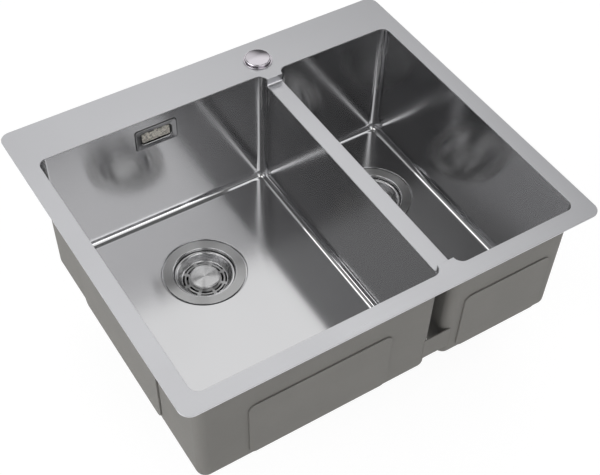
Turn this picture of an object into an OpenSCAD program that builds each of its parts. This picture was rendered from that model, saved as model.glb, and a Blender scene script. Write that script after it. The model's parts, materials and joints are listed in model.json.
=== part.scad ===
// Inset kitchen sink with a main bowl, a half bowl and a lowered divider between them.
// A push button on the back ledge lifts the basket strainer of the main bowl.
// The origin is the centre of the flange outline on the worktop's surface, and +Y is the back.

/* [Flange] */
// Width of the whole sink
sink_w = 580; // [560:5:640]
// Depth of the whole sink, front to back
sink_d = 500; // [480:5:540]
// Radius of the flange's outer corners
flange_corner_r = 15; // [8:1:22]
// Thickness of the flange sheet
flange_t = 1.5; // [1:0.1:3]
// Width of the rim left of the main bowl
rim_left = 24.5; // [22:0.5:32]
// Width of the rim right of the half bowl
rim_right = 23.5; // [22:0.5:32]
// Width of the rim in front of the bowls
rim_front = 24; // [22:0.5:32]
// Depth of the ledge behind the bowls
ledge_d = 68; // [64:1:90]

/* [Bowls] */
// Inside width of the half bowl
half_w = 178; // [165:1:200]
// Width of the divider between the insides of the bowls
divider_w = 24; // [20:1:40]
// Depth of both bowls below the flange's top
bowl_depth = 186; // [150:1:220]
// Radius of the bowls' upright corners, inside
bowl_r = 12; // [10:0.5:20]
// Radius between walls and floor, inside
floor_r = 10; // [6:0.5:14]
// Thickness of the bowl sheet
bowl_t = 1.2; // [0.8:0.1:2]
// How far the divider lies below the flange's top
divider_drop = 12; // [8:0.5:20]
// Thickness of the divider sheet
divider_t = 1.5; // [1:0.1:3]
// Radius at the foot of the steps at the divider's ends
divider_foot_r = 3.5; // [2:0.5:6]
// Length of the flange tab at each end of the divider
tab_l = 12; // [10:0.5:20]

/* [Braces and pads] */
// Height of the plates that join the outsides of the bowls
brace_h = 37; // [20:1:60]
// Height of the plates' lower edge above the underside of the bowl floors
brace_lift = 20.7; // [15:0.5:50]
// Thickness of these plates
brace_t = 1.5; // [1:0.1:3]
// How far the plates stop short of the bowls' flat walls
brace_short = 3.5; // [2:0.5:6]
// Thickness of the sound pads
pad_t = 2.5; // [1:0.1:4]
// Corner radius of the sound pads
pad_r = 10; // [4:1:20]
// Distance from the flange's top to the upper edge of the side pads
pad_drop = 75; // [60:1:90]
// Width of the pads on the main bowl's front and floor
main_pad_w = 200; // [120:5:240]
// Width of the pads on the half bowl's front and floor
half_pad_w = 135; // [80:1:145]
// Length of the pads on the left and right sides
side_pad_l = 214; // [120:2:300]
// Length of the pads under the floors
floor_pad_l = 160; // [80:5:165]
// Distance from the bowls' front wall to the floor pads
floor_pad_front = 28; // [15:1:30]
// Free width between a floor pad and the drain's pressed seat
pad_gap = 3; // [1:0.5:8]

/* [Worktop seal] */
// Thickness of the strip under the flange
seal_t = 2; // [1:0.5:4]
// Width of the strip
seal_w = 8; // [5:1:12]
// Distance from the flange's edge to the strip
seal_inset = 3; // [1:0.5:6]

/* [Strainers] */
// Sideways place of the main drain from the middle of its bowl
main_drain_dx = -3.5; // [-20:0.5:20]
// Distance from the bowls' back wall to the middle of the drains
drain_back = 123.5; // [100:0.5:150]
// Outer radius of the strainer flanges
strainer_r = 57.4; // [55:0.2:60]
// Radius of the cup inside, above the ledge that carries the basket
cup_r = 42.6; // [41:0.2:44]
// Width of the ledge that carries the basket
ledge_w = 4; // [3:0.2:6]
// Depth of the cup below the bowl floor
cup_depth = 34; // [32:1:45]
// Thickness of the strainer flange and cup
cup_t = 1.2; // [0.8:0.1:2]
// Radius of the bend from the flat ring into the cup
cup_bend_r = 1.9; // [1:0.1:3]
// Free width round the cup in the bowl's hole
drain_gap = 1.2; // [0.5:0.1:2.5]
// Free width round the strainer flange in its seat
seat_gap = 1.8; // [0.5:0.1:3]
// Thickness of the gasket under the strainer flange
flange_gasket_t = 1; // [0.5:0.1:2]

/* [Baskets] */
// Distance from the bowl floor down to the basket's lip
basket_drop = 5; // [3:0.5:8]
// Thickness of the basket sheet
basket_t = 1; // [0.6:0.1:1.5]
// Depth of the basket's dish below its lip
dish_depth = 10.6; // [8:0.2:12]
// Radius of the dish's floor
dish_r = 32.3; // [31.8:0.1:34]
// Free width round the basket's lip in the cup
lip_gap = 1.1; // [0.5:0.1:2]
// Width of the basket's flat lip
lip_w = 3.3; // [2.5:0.1:3.4]
// Number of slots in each of the two rings
slot_count = 8; // [6:1:10]
// Width of the slots
slot_w = 3; // [1.5:0.1:3.2]
// Width of the bridges between slots of the outer ring
slot_bridge = 5; // [3:0.5:8]
// Radius of the middle of the outer slots
slot_outer_r = 29.7; // [29.5:0.1:30]
// Radius of the middle of the inner slots
slot_inner_r = 24.5; // [24:0.1:25]
// Radius of the cap in the middle
cap_r = 21; // [15:0.2:21.5]
// Height of the cap above the dish's floor
cap_h = 6.6; // [5:0.1:8]
// Thickness of the cap's sheet
cap_t = 1.2; // [0.8:0.1:1.5]
// Radius of the cap's edge
cap_edge_r = 2; // [1.6:0.1:3]
// Thickness of the rubber ring under the lip
basket_seal_t = 2.5; // [1.5:0.1:4]
// Radius of the post under the basket
post_r = 4.5; // [3.5:0.1:6]
// Length of the post under the main basket
main_post_l = 7.4; // [4:0.2:8]
// Length of the peg under the half basket
half_post_l = 17.4; // [14:0.2:20]
// How far the post's head reaches past the post
post_head_lap = 4; // [3:0.5:5]
// Height of the post's head above the dish's floor
post_head_h = 2.4; // [1.5:0.1:3]

/* [Wastes] */
// Thickness of the gasket under the bowl
body_gasket_t = 3; // [2:0.5:5]
// Radius of the waste body's rim
body_rim_r = 55; // [52:0.5:58]
// Thickness of that rim
body_rim_t = 4; // [3:0.5:6]
// Free width between cup and waste body
body_gap = 1; // [0.5:0.1:2]
// Wall of the waste body
body_wall = 2.5; // [2:0.1:4]
// Depth of the waste body's straight wall below the bowl floor
body_depth = 63; // [62:1:80]
// Height of the funnel under the straight wall
funnel_h = 14; // [10:1:25]
// Outside radius of the outlet, for a one and a half inch union nut
outlet_r = 23.9; // [20:0.1:30]
// Length of the outlet
outlet_l = 24; // [18:1:40]
// Wall of the outlet
outlet_wall = 3; // [2:0.1:4]
// Height of the funnel's tongue inside the waste body's wall
tongue_h = 3; // [2:0.5:3]
// Thickness of that tongue
tongue_t = 2; // [1.5:0.1:3]
// Thickness of the spider, the plate under the cup
spider_t = 4; // [3:0.5:6]
// Height of the ledge inside the waste body that the spider is pulled against
spider_ledge_t = 3; // [2:0.5:5]
// Radius of the six flow holes round the middle of cup and spider
flow_r = 6; // [4:0.2:6]
// Distance of these holes from the middle
flow_ring_r = 19; // [18:0.2:19.4]
// Radius of the three flow holes between the screws
side_flow_r = 5; // [3:0.2:5.4]
// Radius of the screws that clamp flange and body
clamp_screw_r = 2.4; // [2:0.1:3]
// Height of the clamp screws' heads
clamp_head_h = 2.5; // [1.5:0.1:3.5]
// Distance of the clamp screws from the middle
clamp_ring_r = 30; // [28:0.5:32]
// How far the screws' heads reach past the screws
clamp_head_lap = 1.9; // [1:0.1:2.2]
// Length of the screws below the spider
clamp_screw_out = 6; // [4:0.5:6.5]
// Length of the screw bosses below the spider
boss_l = 7; // [5:0.5:9]
// Wall of these bosses
boss_wall = 2; // [1.5:0.1:2.5]
// Radius of the sleeve in the middle of the spider
sleeve_r = 7; // [6.4:0.1:8]
// Height of the sleeve above the spider
sleeve_up = 8; // [5:0.5:8.5]
// Length of the lift pin's sleeve below the spider
sleeve_down = 4; // [2:0.5:4.5]
// Radius of the lift pin
pin_r = 3; // [2:0.1:4]
// Length of the lift pin
pin_l = 22; // [18:0.5:24]
// Running clearance round the lift pin and the button's stem
run_gap = 0.08; // [0.02:0.01:0.1]
// How far a press on the button lifts the basket
lift_travel = 10; // [5:1:12]
// Outside radius of the spigot that takes the overflow hose
return_r = 10; // [8:0.5:11]
// Length of that spigot
return_l = 22; // [15:1:40]
// How far the shoulder at the spigot's foot stands out
return_shoulder = 2; // [1.5:0.5:4]

/* [Cable glands] */
// Outside radius of the arm that leads the cable into the waste body
arm_r = 6; // [5:0.5:6.5]
// How far the arm stands out of the waste body, also the thickness of its collar
arm_out = 3; // [2:0.5:5]
// How far the collar reaches past the arm
collar_lap = 2; // [1:0.5:3]
// How far the gland reaches past the arm
gland_lap = 1.5; // [1:0.1:2]
// Wall of the gland's nose inside the arm
nose_wall = 1.2; // [0.8:0.1:1.4]
// Length of that nose
nose_l = 6; // [4:0.5:10]
// Radius of the cable's hole
cable_r = 2.5; // [1.5:0.1:3]
// Length of the gland outside the arm
waste_gland_l = 16; // [10:1:25]
// Length of the gland at the button
button_gland_l = 24; // [20:1:35]
// Wall of the gland at the button
button_gland_wall = 3; // [2:0.5:4]

/* [Overflow] */
// Width of the overflow bezel
bezel_w = 62; // [60:1:72]
// Height of the overflow bezel
bezel_h = 34; // [32:1:44]
// Corner radius of the bezel
bezel_r = 4; // [2:0.5:8]
// Thickness of the bezel
bezel_t = 1.2; // [0.8:0.1:2]
// Distance from the flange's top to the bezel's upper edge
bezel_drop = 14.5; // [12:0.5:40]
// Width of the overflow's opening
mouth_w = 45.4; // [38:0.2:45.8]
// Height of the overflow's opening
mouth_h = 18.5; // [14:0.5:20]
// Corner radius of the opening
mouth_r = 5; // [3:0.5:6]
// Wall of the collar round the opening
collar_t = 1.2; // [0.8:0.1:1.6]
// Free width round the collar in the wall and gasket
collar_gap = 0.3; // [0.1:0.1:0.6]
// Thickness of the insert
insert_t = 2.5; // [1.5:0.1:3]
// How far the insert lies behind the bezel's face
insert_set = 1; // [0.5:0.1:1.5]
// Height of the gaps along the insert's top
insert_slit = 2.2; // [1.5:0.1:4]
// Width of each of the insert's three tabs
insert_tab_w = 5; // [3:0.5:8]
// Distance from the middle tab to each outer one
insert_tab_dx = 13.4; // [11:0.2:14]
// Thickness of the gasket behind the wall
overflow_gasket_t = 2; // [1:0.5:4]
// Distance from the middle to each screw
overflow_screw_dx = 27.2; // [27:0.1:27.4]
// Radius of these screws
overflow_screw_r = 1.5; // [1.2:0.1:1.6]
// Height of these screws' heads
overflow_head_h = 1.8; // [1:0.1:2.5]
// Free width between the heads and the housing's box
overflow_head_gap = 0.6; // [0.3:0.1:1]
// Radius of the bosses on the bezel's back
overflow_boss_r = 2.4; // [2.2:0.1:2.6]
// How far the gasket and housing flange reach past the bezel
housing_lap = 4; // [2:0.5:8]
// Thickness of the housing's flange
housing_flange_t = 3; // [2:0.5:5]
// Wall of the housing and of both hose spigots
housing_wall = 2; // [1.5:0.1:3]
// Depth of the housing's box behind its flange
housing_depth = 28; // [27:1:36]
// Inside height of the housing's box
housing_h = 24; // [22:1:26]
// Outside radius of the hose spigot
hose_r = 12.5; // [10:0.5:13]
// Length of the hose spigot
hose_l = 25; // [18:1:40]

/* [Button] */
// Sideways place of the button from the middle of the divider
button_dx = -2.5; // [-20:0.5:20]
// Distance from the flange's back edge to the middle of the button
button_back = 39; // [38:0.5:41]
// Radius of the button's cap
button_r = 17.9; // [15:0.1:20]
// Height of the cap's top above the flange
button_h = 6; // [5:0.1:10]
// Radius of the cap's shoulder
shoulder_r = 4; // [2:0.1:4.2]
// Wall of the cap
button_wall = 1.2; // [1:0.1:2]
// Length of the cap's skirt below the flange's top
skirt_l = 9; // [6:0.5:12]
// Travel of the button
button_travel = 4; // [2:0.5:4.5]
// Wall of the barrel
barrel_wall = 1; // [0.8:0.1:2]
// Depth of the barrel below the flange's top
barrel_l = 26; // [24:0.5:35]
// Thickness of the barrel's floor
barrel_floor_t = 2.5; // [2:0.1:4]
// Free width round the barrel in the flange's hole
barrel_gap = 0.2; // [0.1:0.1:0.5]
// How far the button's bezel reaches past the barrel
button_bezel_w = 1.4; // [1:0.1:4]
// Thickness of the button's bezel
button_bezel_t = 0.9; // [0.6:0.1:1.5]
// Thickness of the seal under that bezel
button_seal_t = 0.4; // [0.3:0.1:1]
// Radius of the button's stem
stem_r = 5; // [3:0.1:6]
// How far the stem reaches below the barrel
stem_out = 7; // [4:0.5:8]
// Wire space of the button's spring, measured outwards
spring_wall = 2.2; // [1:0.1:3]
// Free width between stem and spring
spring_gap = 1; // [0.5:0.1:1.5]
// Thickness of the washer under the flange
washer_t = 1.5; // [1:0.1:3]
// How far washer and nut reach past the barrel
nut_lap = 7; // [5:0.5:10]
// Height of the back nut
nut_h = 8; // [5:0.5:12]

/* [Hidden] */
$fn = 96;

// A cut runs past the faces that it opens by this much
past = 1;
// A piece that joins a curved wall of its own node runs this far into it
bite = 0.6;
// Free width between a seated moving piece and its seat
rest_gap = 0.3;
// Free width between two flat faces of different bodies
face_gap = 0.1;
// Free width round a fastener in its hole
screw_gap = 0.05;
// A gasket stops this far short of the edges that press it
gasket_edge = 1;
// Sideways thickness of the basket's steep wall
dish_side = 0.7;
// Free length between the sleeve and the arm below it, and under the pressed stem
end_gap = 1;

steel = [0.76, 0.77, 0.78];
coat = [0.50, 0.49, 0.47];
pad_grey = [0.46, 0.45, 0.43];
chrome = [0.86, 0.87, 0.89];
rubber = [0.12, 0.12, 0.12];
plastic = [0.20, 0.21, 0.22];
pale_plastic = [0.78, 0.76, 0.70];
brass = [0.72, 0.60, 0.35];

// Levels of the sheet
deck_z = seal_t;
top_z = deck_z + flange_t;
floor_z = top_z - bowl_depth;
under_floor_z = floor_z - bowl_t;
fillet_r = min(floor_r, bowl_r);

// Plan of the bowls
half_x1 = sink_w / 2 - rim_right;
half_x0 = half_x1 - half_w;
main_x0 = rim_left - sink_w / 2;
main_x1 = half_x0 - divider_w;
bowl_y0 = rim_front - sink_d / 2;
bowl_y1 = sink_d / 2 - ledge_d;
main_w = main_x1 - main_x0;
bowl_l = bowl_y1 - bowl_y0;
main_x = (main_x0 + main_x1) / 2;
half_x = (half_x0 + half_x1) / 2;
bowl_y = (bowl_y0 + bowl_y1) / 2;
divider_x = (main_x1 + half_x0) / 2;
tab_y0 = bowl_y0 + tab_l;
tab_y1 = bowl_y1 - tab_l;

// Levels of the divider
bridge_z = top_z - divider_drop;
bridge_under_z = bridge_z - divider_t;

// Outsides of the bowls
front_y = bowl_y0 - bowl_t;
rear_y = bowl_y1 + bowl_t;
left_x = main_x0 - bowl_t;
right_x = half_x1 + bowl_t;
outer_r = bowl_r + bowl_t;
pad_top_z = top_z - pad_drop;
pad_h = pad_top_z - (floor_z + fillet_r);

// Drains
main_drain_x = main_x + main_drain_dx;
drain_y = bowl_y1 - drain_back;
seat_depth = flange_gasket_t + cup_t;
seat_r = strainer_r + seat_gap;
drain_hole_r = cup_r + cup_t + drain_gap;

// Levels of the strainers, measured from the bowl floor
seat_under = -seat_depth - bowl_t;
ledge_level = -basket_drop - basket_t - basket_seal_t - rest_gap;
throat_r = cup_r - ledge_w;
cup_under = -cup_depth - cup_t;
rim_top = seat_under - body_gasket_t;
body_r = cup_r + cup_t + body_gap;
body_out_r = body_r + body_wall;
spider_ledge_r = throat_r + cup_t + body_gap;
spider_under = cup_under - spider_t;
arm_level = spider_under - sleeve_down - end_gap - arm_r;
arm_end = body_out_r + arm_out;
arm_bore_r = cable_r + nose_wall + screw_gap;
return_level = -body_depth + return_r + return_shoulder;
funnel_under = -body_depth - funnel_h;
outlet_under = funnel_under - outlet_l;

// Basket
lip_r = cup_r - lip_gap;
lip_in_r = lip_r - lip_w;
dish_level = -basket_drop - dish_depth;
dish_under = dish_level - basket_t;
cap_level = dish_level + cap_h;
post_head_r = post_r + post_head_lap;
main_post_under = dish_under - main_post_l;
half_post_under = dish_under - half_post_l;
pin_top = main_post_under - face_gap;
pin_under = pin_top - pin_l;
sleeve_top = spider_under + spider_t + sleeve_up;

// Overflow
overflow_x = main_x;
overflow_z = top_z - bezel_drop - bezel_h / 2;
collar_w = mouth_w + 2 * collar_t;
collar_h = mouth_h + 2 * collar_t;
collar_r = mouth_r + collar_t;
gasket_y = rear_y + overflow_gasket_t;
housing_y = gasket_y + housing_flange_t;
overflow_head_r = 2 * overflow_screw_r;
housing_w = 2 * (overflow_screw_dx - overflow_head_r - overflow_head_gap);
hose_y = housing_y + housing_depth - housing_wall - hose_r;

// Button
button_x = divider_x + button_dx;
button_y = sink_d / 2 - button_back;
bore_r = button_r + run_gap;
barrel_r = bore_r + barrel_wall;
button_bezel_r = barrel_r + button_bezel_w;
button_bezel_z = top_z + button_seal_t;
barrel_under = top_z - barrel_l;
cap_top_z = top_z + button_h;
cap_inner_z = cap_top_z - button_wall;
stem_under = barrel_under - stem_out;
washer_z = deck_z - washer_t;
nut_r = barrel_r + nut_lap;

// Outlines

module rounded_rect(w, h, r) {
    square([w - 2 * r, h], center = true);
    square([w, h - 2 * r], center = true);
    for (x = [-1, 1], y = [-1, 1])
        translate([x * (w / 2 - r), y * (h / 2 - r)]) circle(r);
}

module rounded_ring(w, h, r, hole_w, hole_h, hole_r) {
    difference() {
        rounded_rect(w, h, r);
        rounded_rect(hole_w, hole_h, hole_r);
    }
}

// A quarter of a ring in the lower right quadrant
module quarter_ring(r, t) {
    intersection() {
        difference() {
            circle(r + t);
            circle(r);
        }
        translate([0, -r - t]) square(r + t);
    }
}

// Stands an outline upright, facing the back, with its plane at y
module upright(y, t) {
    translate([0, y + t, 0]) rotate([90, 0, 0]) linear_extrude(t) children();
}

module tube(r, hole_r, h) {
    difference() {
        cylinder(r = r, h = h);
        translate([0, 0, -past]) cylinder(r = hole_r, h = h + 2 * past);
    }
}

// Bowls

// Half section of a bowl's wall, fillet and floor, with the corner's axis at x = 0
module pan_profile() {
    translate([bowl_r, floor_z + fillet_r]) square([bowl_t, deck_z - floor_z - fillet_r]);
    translate([bowl_r - fillet_r, floor_z + fillet_r]) quarter_ring(fillet_r, bowl_t);
    if (bowl_r > fillet_r) translate([0, under_floor_z]) square([bowl_r - fillet_r, bowl_t]);
}

module pan(w, l) {
    for (side = [0:3]) {
        reach = (side % 2 == 0 ? w : l) / 2 - bowl_r;
        run = (side % 2 == 0 ? l : w) - 2 * bowl_r;
        rotate([0, 0, 90 * side]) translate([reach, run / 2, 0]) {
            rotate([90, 0, 0]) linear_extrude(run) pan_profile();
            rotate_extrude(angle = 90) pan_profile();
        }
    }
    translate([bowl_r - w / 2, bowl_r - l / 2, under_floor_z])
        cube([w - 2 * bowl_r, l - 2 * bowl_r, bowl_t]);
}

// Pressed seat for the strainer, below the floor
module seat_dish() {
    translate([0, 0, floor_z + seat_under]) cylinder(r = seat_r + bowl_t, h = seat_depth);
}

module seat_cut() {
    translate([0, 0, floor_z - seat_depth]) cylinder(r = seat_r, h = seat_depth + past);
    translate([0, 0, floor_z + seat_under - past]) cylinder(r = drain_hole_r, h = bowl_t + 2 * past);
}

// Space above the divider, where the bowl walls are cut down
module divider_notch() {
    translate([main_x1 - past, tab_y0 - divider_t, bridge_under_z])
        cube([divider_w + 2 * past, tab_y1 - tab_y0 + 2 * divider_t, divider_drop + divider_t]);
}

module bowl(x, w, drain_x) {
    difference() {
        union() {
            translate([x, bowl_y, 0]) pan(w, bowl_l);
            translate([drain_x, drain_y, 0]) seat_dish();
        }
        translate([drain_x, drain_y, 0]) seat_cut();
        divider_notch();
    }
}

module deck() {
    color(steel) translate([0, 0, deck_z]) linear_extrude(flange_t) difference() {
        rounded_rect(sink_w, sink_d, flange_corner_r);
        translate([main_x, bowl_y]) rounded_rect(main_w, bowl_l, bowl_r);
        translate([half_x, bowl_y]) rounded_rect(half_w, bowl_l, bowl_r);
        translate([main_x1 - past, tab_y0]) square([divider_w + 2 * past, tab_y1 - tab_y0]);
        translate([button_x, button_y]) circle(barrel_r + barrel_gap);
    }
}

module main_bowl() {
    color(coat) difference() {
        bowl(main_x, main_w, main_drain_x);
        translate([overflow_x, 0, overflow_z]) {
            upright(bowl_y1 - past, bowl_t + 2 * past) collar_hole();
            upright(bowl_y1 - past, bowl_t + 2 * past) boss_holes();
        }
    }
}

module half_bowl() {
    color(coat) bowl(half_x, half_w, half_x);
}

// Section of the divider along Y: tread, two feet and two upright steps
module divider_profile() {
    tread_y0 = tab_y0 + divider_foot_r;
    tread_y1 = tab_y1 - divider_foot_r;
    foot_z = bridge_z + divider_foot_r;
    translate([tread_y0, bridge_under_z]) square([tread_y1 - tread_y0, divider_t]);
    translate([tread_y1, foot_z]) quarter_ring(divider_foot_r, divider_t);
    translate([tread_y0, foot_z]) mirror([1, 0]) quarter_ring(divider_foot_r, divider_t);
    for (y = [tab_y0 - divider_t, tab_y1])
        translate([y, foot_z]) square([divider_t, deck_z - foot_z]);
}

module divider_bridge() {
    color(steel) translate([main_x1, 0, 0]) rotate([90, 0, 90]) linear_extrude(divider_w) divider_profile();
}

// Plate between the outsides of the bowls, fitted to their rounded corners
module brace(y, corner_y) {
    x0 = main_x1 - bowl_r + brace_short;
    x1 = half_x0 + bowl_r - brace_short;
    color(coat) difference() {
        translate([x0, y, under_floor_z + brace_lift]) cube([x1 - x0, brace_t, brace_h]);
        for (x = [main_x1 - bowl_r, half_x0 + bowl_r])
            translate([x, corner_y, under_floor_z]) cylinder(r = outer_r, h = bowl_depth);
    }
}

module front_brace() {
    brace(front_y, bowl_y0 + bowl_r);
}

module rear_brace() {
    brace(rear_y - brace_t, bowl_y1 - bowl_r);
}

// Pads

module wall_pad(w) {
    translate([0, 0, pad_top_z - pad_h / 2]) upright(0, pad_t) rounded_rect(w, pad_h, pad_r);
}

// Pad under a floor, relieved round the drain's seat where it would reach that far back
module floor_pad(x, w, drain_x) {
    color(pad_grey) translate([0, 0, under_floor_z - pad_t]) linear_extrude(pad_t) difference() {
        translate([x, bowl_y0 + floor_pad_front + floor_pad_l / 2]) rounded_rect(w, floor_pad_l, pad_r);
        translate([drain_x, drain_y]) circle(seat_r + bowl_t + pad_gap);
    }
}

module main_front_pad() {
    color(pad_grey) translate([main_x, front_y - pad_t, 0]) wall_pad(main_pad_w);
}

module half_front_pad() {
    color(pad_grey) translate([half_x, front_y - pad_t, 0]) wall_pad(half_pad_w);
}

module main_left_pad() {
    color(pad_grey) translate([left_x, bowl_y, 0]) rotate([0, 0, 90]) wall_pad(side_pad_l);
}

module half_right_pad() {
    color(pad_grey) translate([right_x, bowl_y, 0]) rotate([0, 0, -90]) wall_pad(side_pad_l);
}

module main_floor_pad() {
    floor_pad(main_x, main_pad_w, main_drain_x);
}

module half_floor_pad() {
    floor_pad(half_x, half_pad_w, half_x);
}

module worktop_seal() {
    out_w = sink_w - 2 * seal_inset;
    out_d = sink_d - 2 * seal_inset;
    out_r = flange_corner_r - seal_inset;
    color(rubber) linear_extrude(seal_t)
        rounded_ring(out_w, out_d, out_r, out_w - 2 * seal_w, out_d - 2 * seal_w, max(out_r - seal_w, 1));
}

// Overflow

module collar_hole() {
    rounded_rect(collar_w + 2 * collar_gap, collar_h + 2 * collar_gap, collar_r + collar_gap);
}

module boss_holes() {
    for (x = [-1, 1]) translate([x * overflow_screw_dx, 0]) circle(overflow_boss_r + collar_gap);
}

module overflow_bezel() {
    color(steel) translate([overflow_x, 0, overflow_z]) difference() {
        union() {
            upright(bowl_y1 - bezel_t, bezel_t)
                rounded_ring(bezel_w, bezel_h, bezel_r, mouth_w, mouth_h, mouth_r);
            upright(bowl_y1, gasket_y - bowl_y1)
                rounded_ring(collar_w, collar_h, collar_r, mouth_w, mouth_h, mouth_r);
            upright(bowl_y1, gasket_y - bowl_y1)
                for (x = [-1, 1]) translate([x * overflow_screw_dx, 0]) circle(overflow_boss_r);
        }
        upright(bowl_y1, gasket_y - bowl_y1 + past)
            for (x = [-1, 1]) translate([x * overflow_screw_dx, 0]) circle(overflow_screw_r + screw_gap);
    }
}

// Ribbed plate that fills the opening up to the gaps between its tabs
module overflow_insert() {
    fill_h = mouth_h - insert_slit;
    color(pale_plastic) translate([overflow_x, 0, overflow_z])
        upright(bowl_y1 - bezel_t + insert_set, insert_t) intersection() {
            rounded_rect(mouth_w, mouth_h, mouth_r);
            union() {
                translate([-mouth_w / 2, -mouth_h / 2]) square([mouth_w, fill_h]);
                for (x = [-1, 0, 1]) translate([x * insert_tab_dx - insert_tab_w / 2, 0])
                    square([insert_tab_w, mouth_h / 2]);
            }
        }
}

module overflow_gasket() {
    color(rubber) translate([overflow_x, 0, overflow_z]) upright(rear_y, overflow_gasket_t) difference() {
        rounded_rect(bezel_w + 2 * housing_lap, bezel_h + 2 * housing_lap, bezel_r + housing_lap);
        collar_hole();
        boss_holes();
    }
}

module overflow_housing() {
    box_h = housing_h + 2 * housing_wall;
    color(plastic) translate([overflow_x, 0, overflow_z]) difference() {
        union() {
            upright(gasket_y, housing_flange_t)
                rounded_rect(bezel_w + 2 * housing_lap, bezel_h + 2 * housing_lap, bezel_r + housing_lap);
            translate([-housing_w / 2, housing_y - bite, -box_h / 2])
                cube([housing_w, housing_depth + bite, box_h]);
            translate([0, hose_y, -box_h / 2 - hose_l]) cylinder(r = hose_r, h = hose_l + bite);
        }
        translate([housing_wall - housing_w / 2, gasket_y - past, -mouth_h / 2])
            cube([housing_w - 2 * housing_wall, housing_flange_t + 2 * past, mouth_h]);
        translate([housing_wall - housing_w / 2, housing_y, -housing_h / 2])
            cube([housing_w - 2 * housing_wall, housing_depth - housing_wall, housing_h]);
        translate([0, hose_y, -box_h / 2 - hose_l - past])
            cylinder(r = hose_r - housing_wall, h = hose_l + housing_wall + 2 * past);
        upright(gasket_y - past, housing_flange_t + 2 * past)
            for (x = [-1, 1]) translate([x * overflow_screw_dx, 0]) circle(overflow_screw_r + screw_gap);
    }
}

module overflow_screws() {
    for (x = [-1, 1])
        color(steel) translate([overflow_x + x * overflow_screw_dx, housing_y, overflow_z]) rotate([90, 0, 0]) {
            translate([0, 0, -overflow_head_h]) cylinder(r = overflow_head_r, h = overflow_head_h);
            cylinder(r = overflow_screw_r, h = housing_y - bowl_y1 - screw_gap);
        }
}

// Strainers and wastes, drawn round their own axis with the bowl floor at z = 0

module at_drain(x) {
    translate([x, drain_y, floor_z]) children();
}

// Section of the flat ring, its bend, the cup and the ledge for the basket
module strainer_profile() {
    ring_in_r = cup_r + cup_bend_r;
    translate([ring_in_r, -cup_t]) square([strainer_r - ring_in_r, cup_t]);
    translate([ring_in_r, -cup_bend_r]) intersection() {
        circle(cup_bend_r);
        translate([-cup_bend_r, 0]) square(cup_bend_r);
    }
    translate([cup_r, ledge_level - cup_t]) square([cup_t, -ledge_level + cup_t - cup_bend_r]);
    translate([throat_r, ledge_level - cup_t]) square([ledge_w, cup_t]);
    translate([throat_r, cup_under]) square([cup_t, ledge_level - cup_under]);
    translate([0, cup_under]) square([throat_r, cup_t]);
}

// Flow holes shared by the cup's floor and the spider under it
module flow_holes(z, h) {
    for (a = [0:60:300]) rotate([0, 0, a + 30]) translate([flow_ring_r, 0, z]) cylinder(r = flow_r, h = h);
    for (a = [0:120:240]) rotate([0, 0, a + 60]) translate([clamp_ring_r, 0, z])
        cylinder(r = side_flow_r, h = h);
}

module at_clamp_screws() {
    for (a = [0:120:240]) rotate([0, 0, a]) translate([clamp_ring_r, 0, 0]) children();
}

module strainer_flange() {
    color(steel) difference() {
        rotate_extrude() strainer_profile();
        translate([0, 0, cup_under - past]) cylinder(r = sleeve_r + rest_gap, h = cup_t + 2 * past);
        flow_holes(cup_under - past, cup_t + 2 * past);
        at_clamp_screws() translate([0, 0, cup_under - past])
            cylinder(r = clamp_screw_r + rest_gap, h = cup_t + 2 * past);
    }
}

module flange_gasket() {
    color(rubber) translate([0, 0, -seat_depth])
        tube(strainer_r - gasket_edge, drain_hole_r + gasket_edge, flange_gasket_t);
}

module body_gasket() {
    color(rubber) translate([0, 0, rim_top])
        tube(body_rim_r - gasket_edge, drain_hole_r + gasket_edge, body_gasket_t);
}

// Section of the waste body: rim, straight wall and the ledge above the spider
module body_profile() {
    ledge_top = cup_under + spider_ledge_t;
    polygon([
        [body_r, rim_top], [body_rim_r, rim_top], [body_rim_r, rim_top - body_rim_t],
        [body_out_r, rim_top - body_rim_t], [body_out_r, -body_depth], [body_r, -body_depth],
        [body_r, cup_under], [spider_ledge_r, cup_under], [spider_ledge_r, ledge_top], [body_r, ledge_top]
    ]);
}

// Funnel with the outlet; its tongue is glued into the waste body once the spider is in
module waste_funnel() {
    bore = outlet_r - outlet_wall;
    tongue_r = body_r - tongue_t;
    tongue_top = tongue_h - body_depth;
    color(plastic) rotate_extrude() polygon([
        [body_out_r, -body_depth], [outlet_r, funnel_under], [outlet_r, outlet_under], [bore, outlet_under],
        [bore, funnel_under], [tongue_r, -body_depth], [tongue_r, tongue_top],
        [body_r - screw_gap, tongue_top], [body_r - screw_gap, -body_depth]
    ]);
}

// Plate that the clamp screws pull up against the waste body's ledge and the cup's floor
module waste_spider(sleeve_under, bore_under, bore_r) {
    boss_under = spider_under - boss_l;
    color(plastic) difference() {
        union() {
            translate([0, 0, spider_under]) cylinder(r = body_r - screw_gap, h = spider_t);
            translate([0, 0, boss_under]) at_clamp_screws()
                cylinder(r = clamp_screw_r + boss_wall, h = boss_l + bite);
            translate([0, 0, sleeve_under]) cylinder(r = sleeve_r, h = sleeve_top - sleeve_under);
        }
        flow_holes(spider_under - past, spider_t + 2 * past);
        at_clamp_screws() translate([0, 0, boss_under - past])
            cylinder(r = clamp_screw_r + screw_gap, h = spider_t + boss_l + 2 * past);
        translate([0, 0, bore_under]) cylinder(r = bore_r, h = sleeve_top - bore_under + past);
    }
}

module clamp_screws() {
    screw_under = spider_under - clamp_screw_out;
    color(steel) at_clamp_screws() {
        translate([0, 0, -cup_depth]) cylinder(r = clamp_screw_r + clamp_head_lap, h = clamp_head_h);
        translate([0, 0, screw_under]) cylinder(r = clamp_screw_r, h = -cup_depth - screw_under);
    }
}

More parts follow.
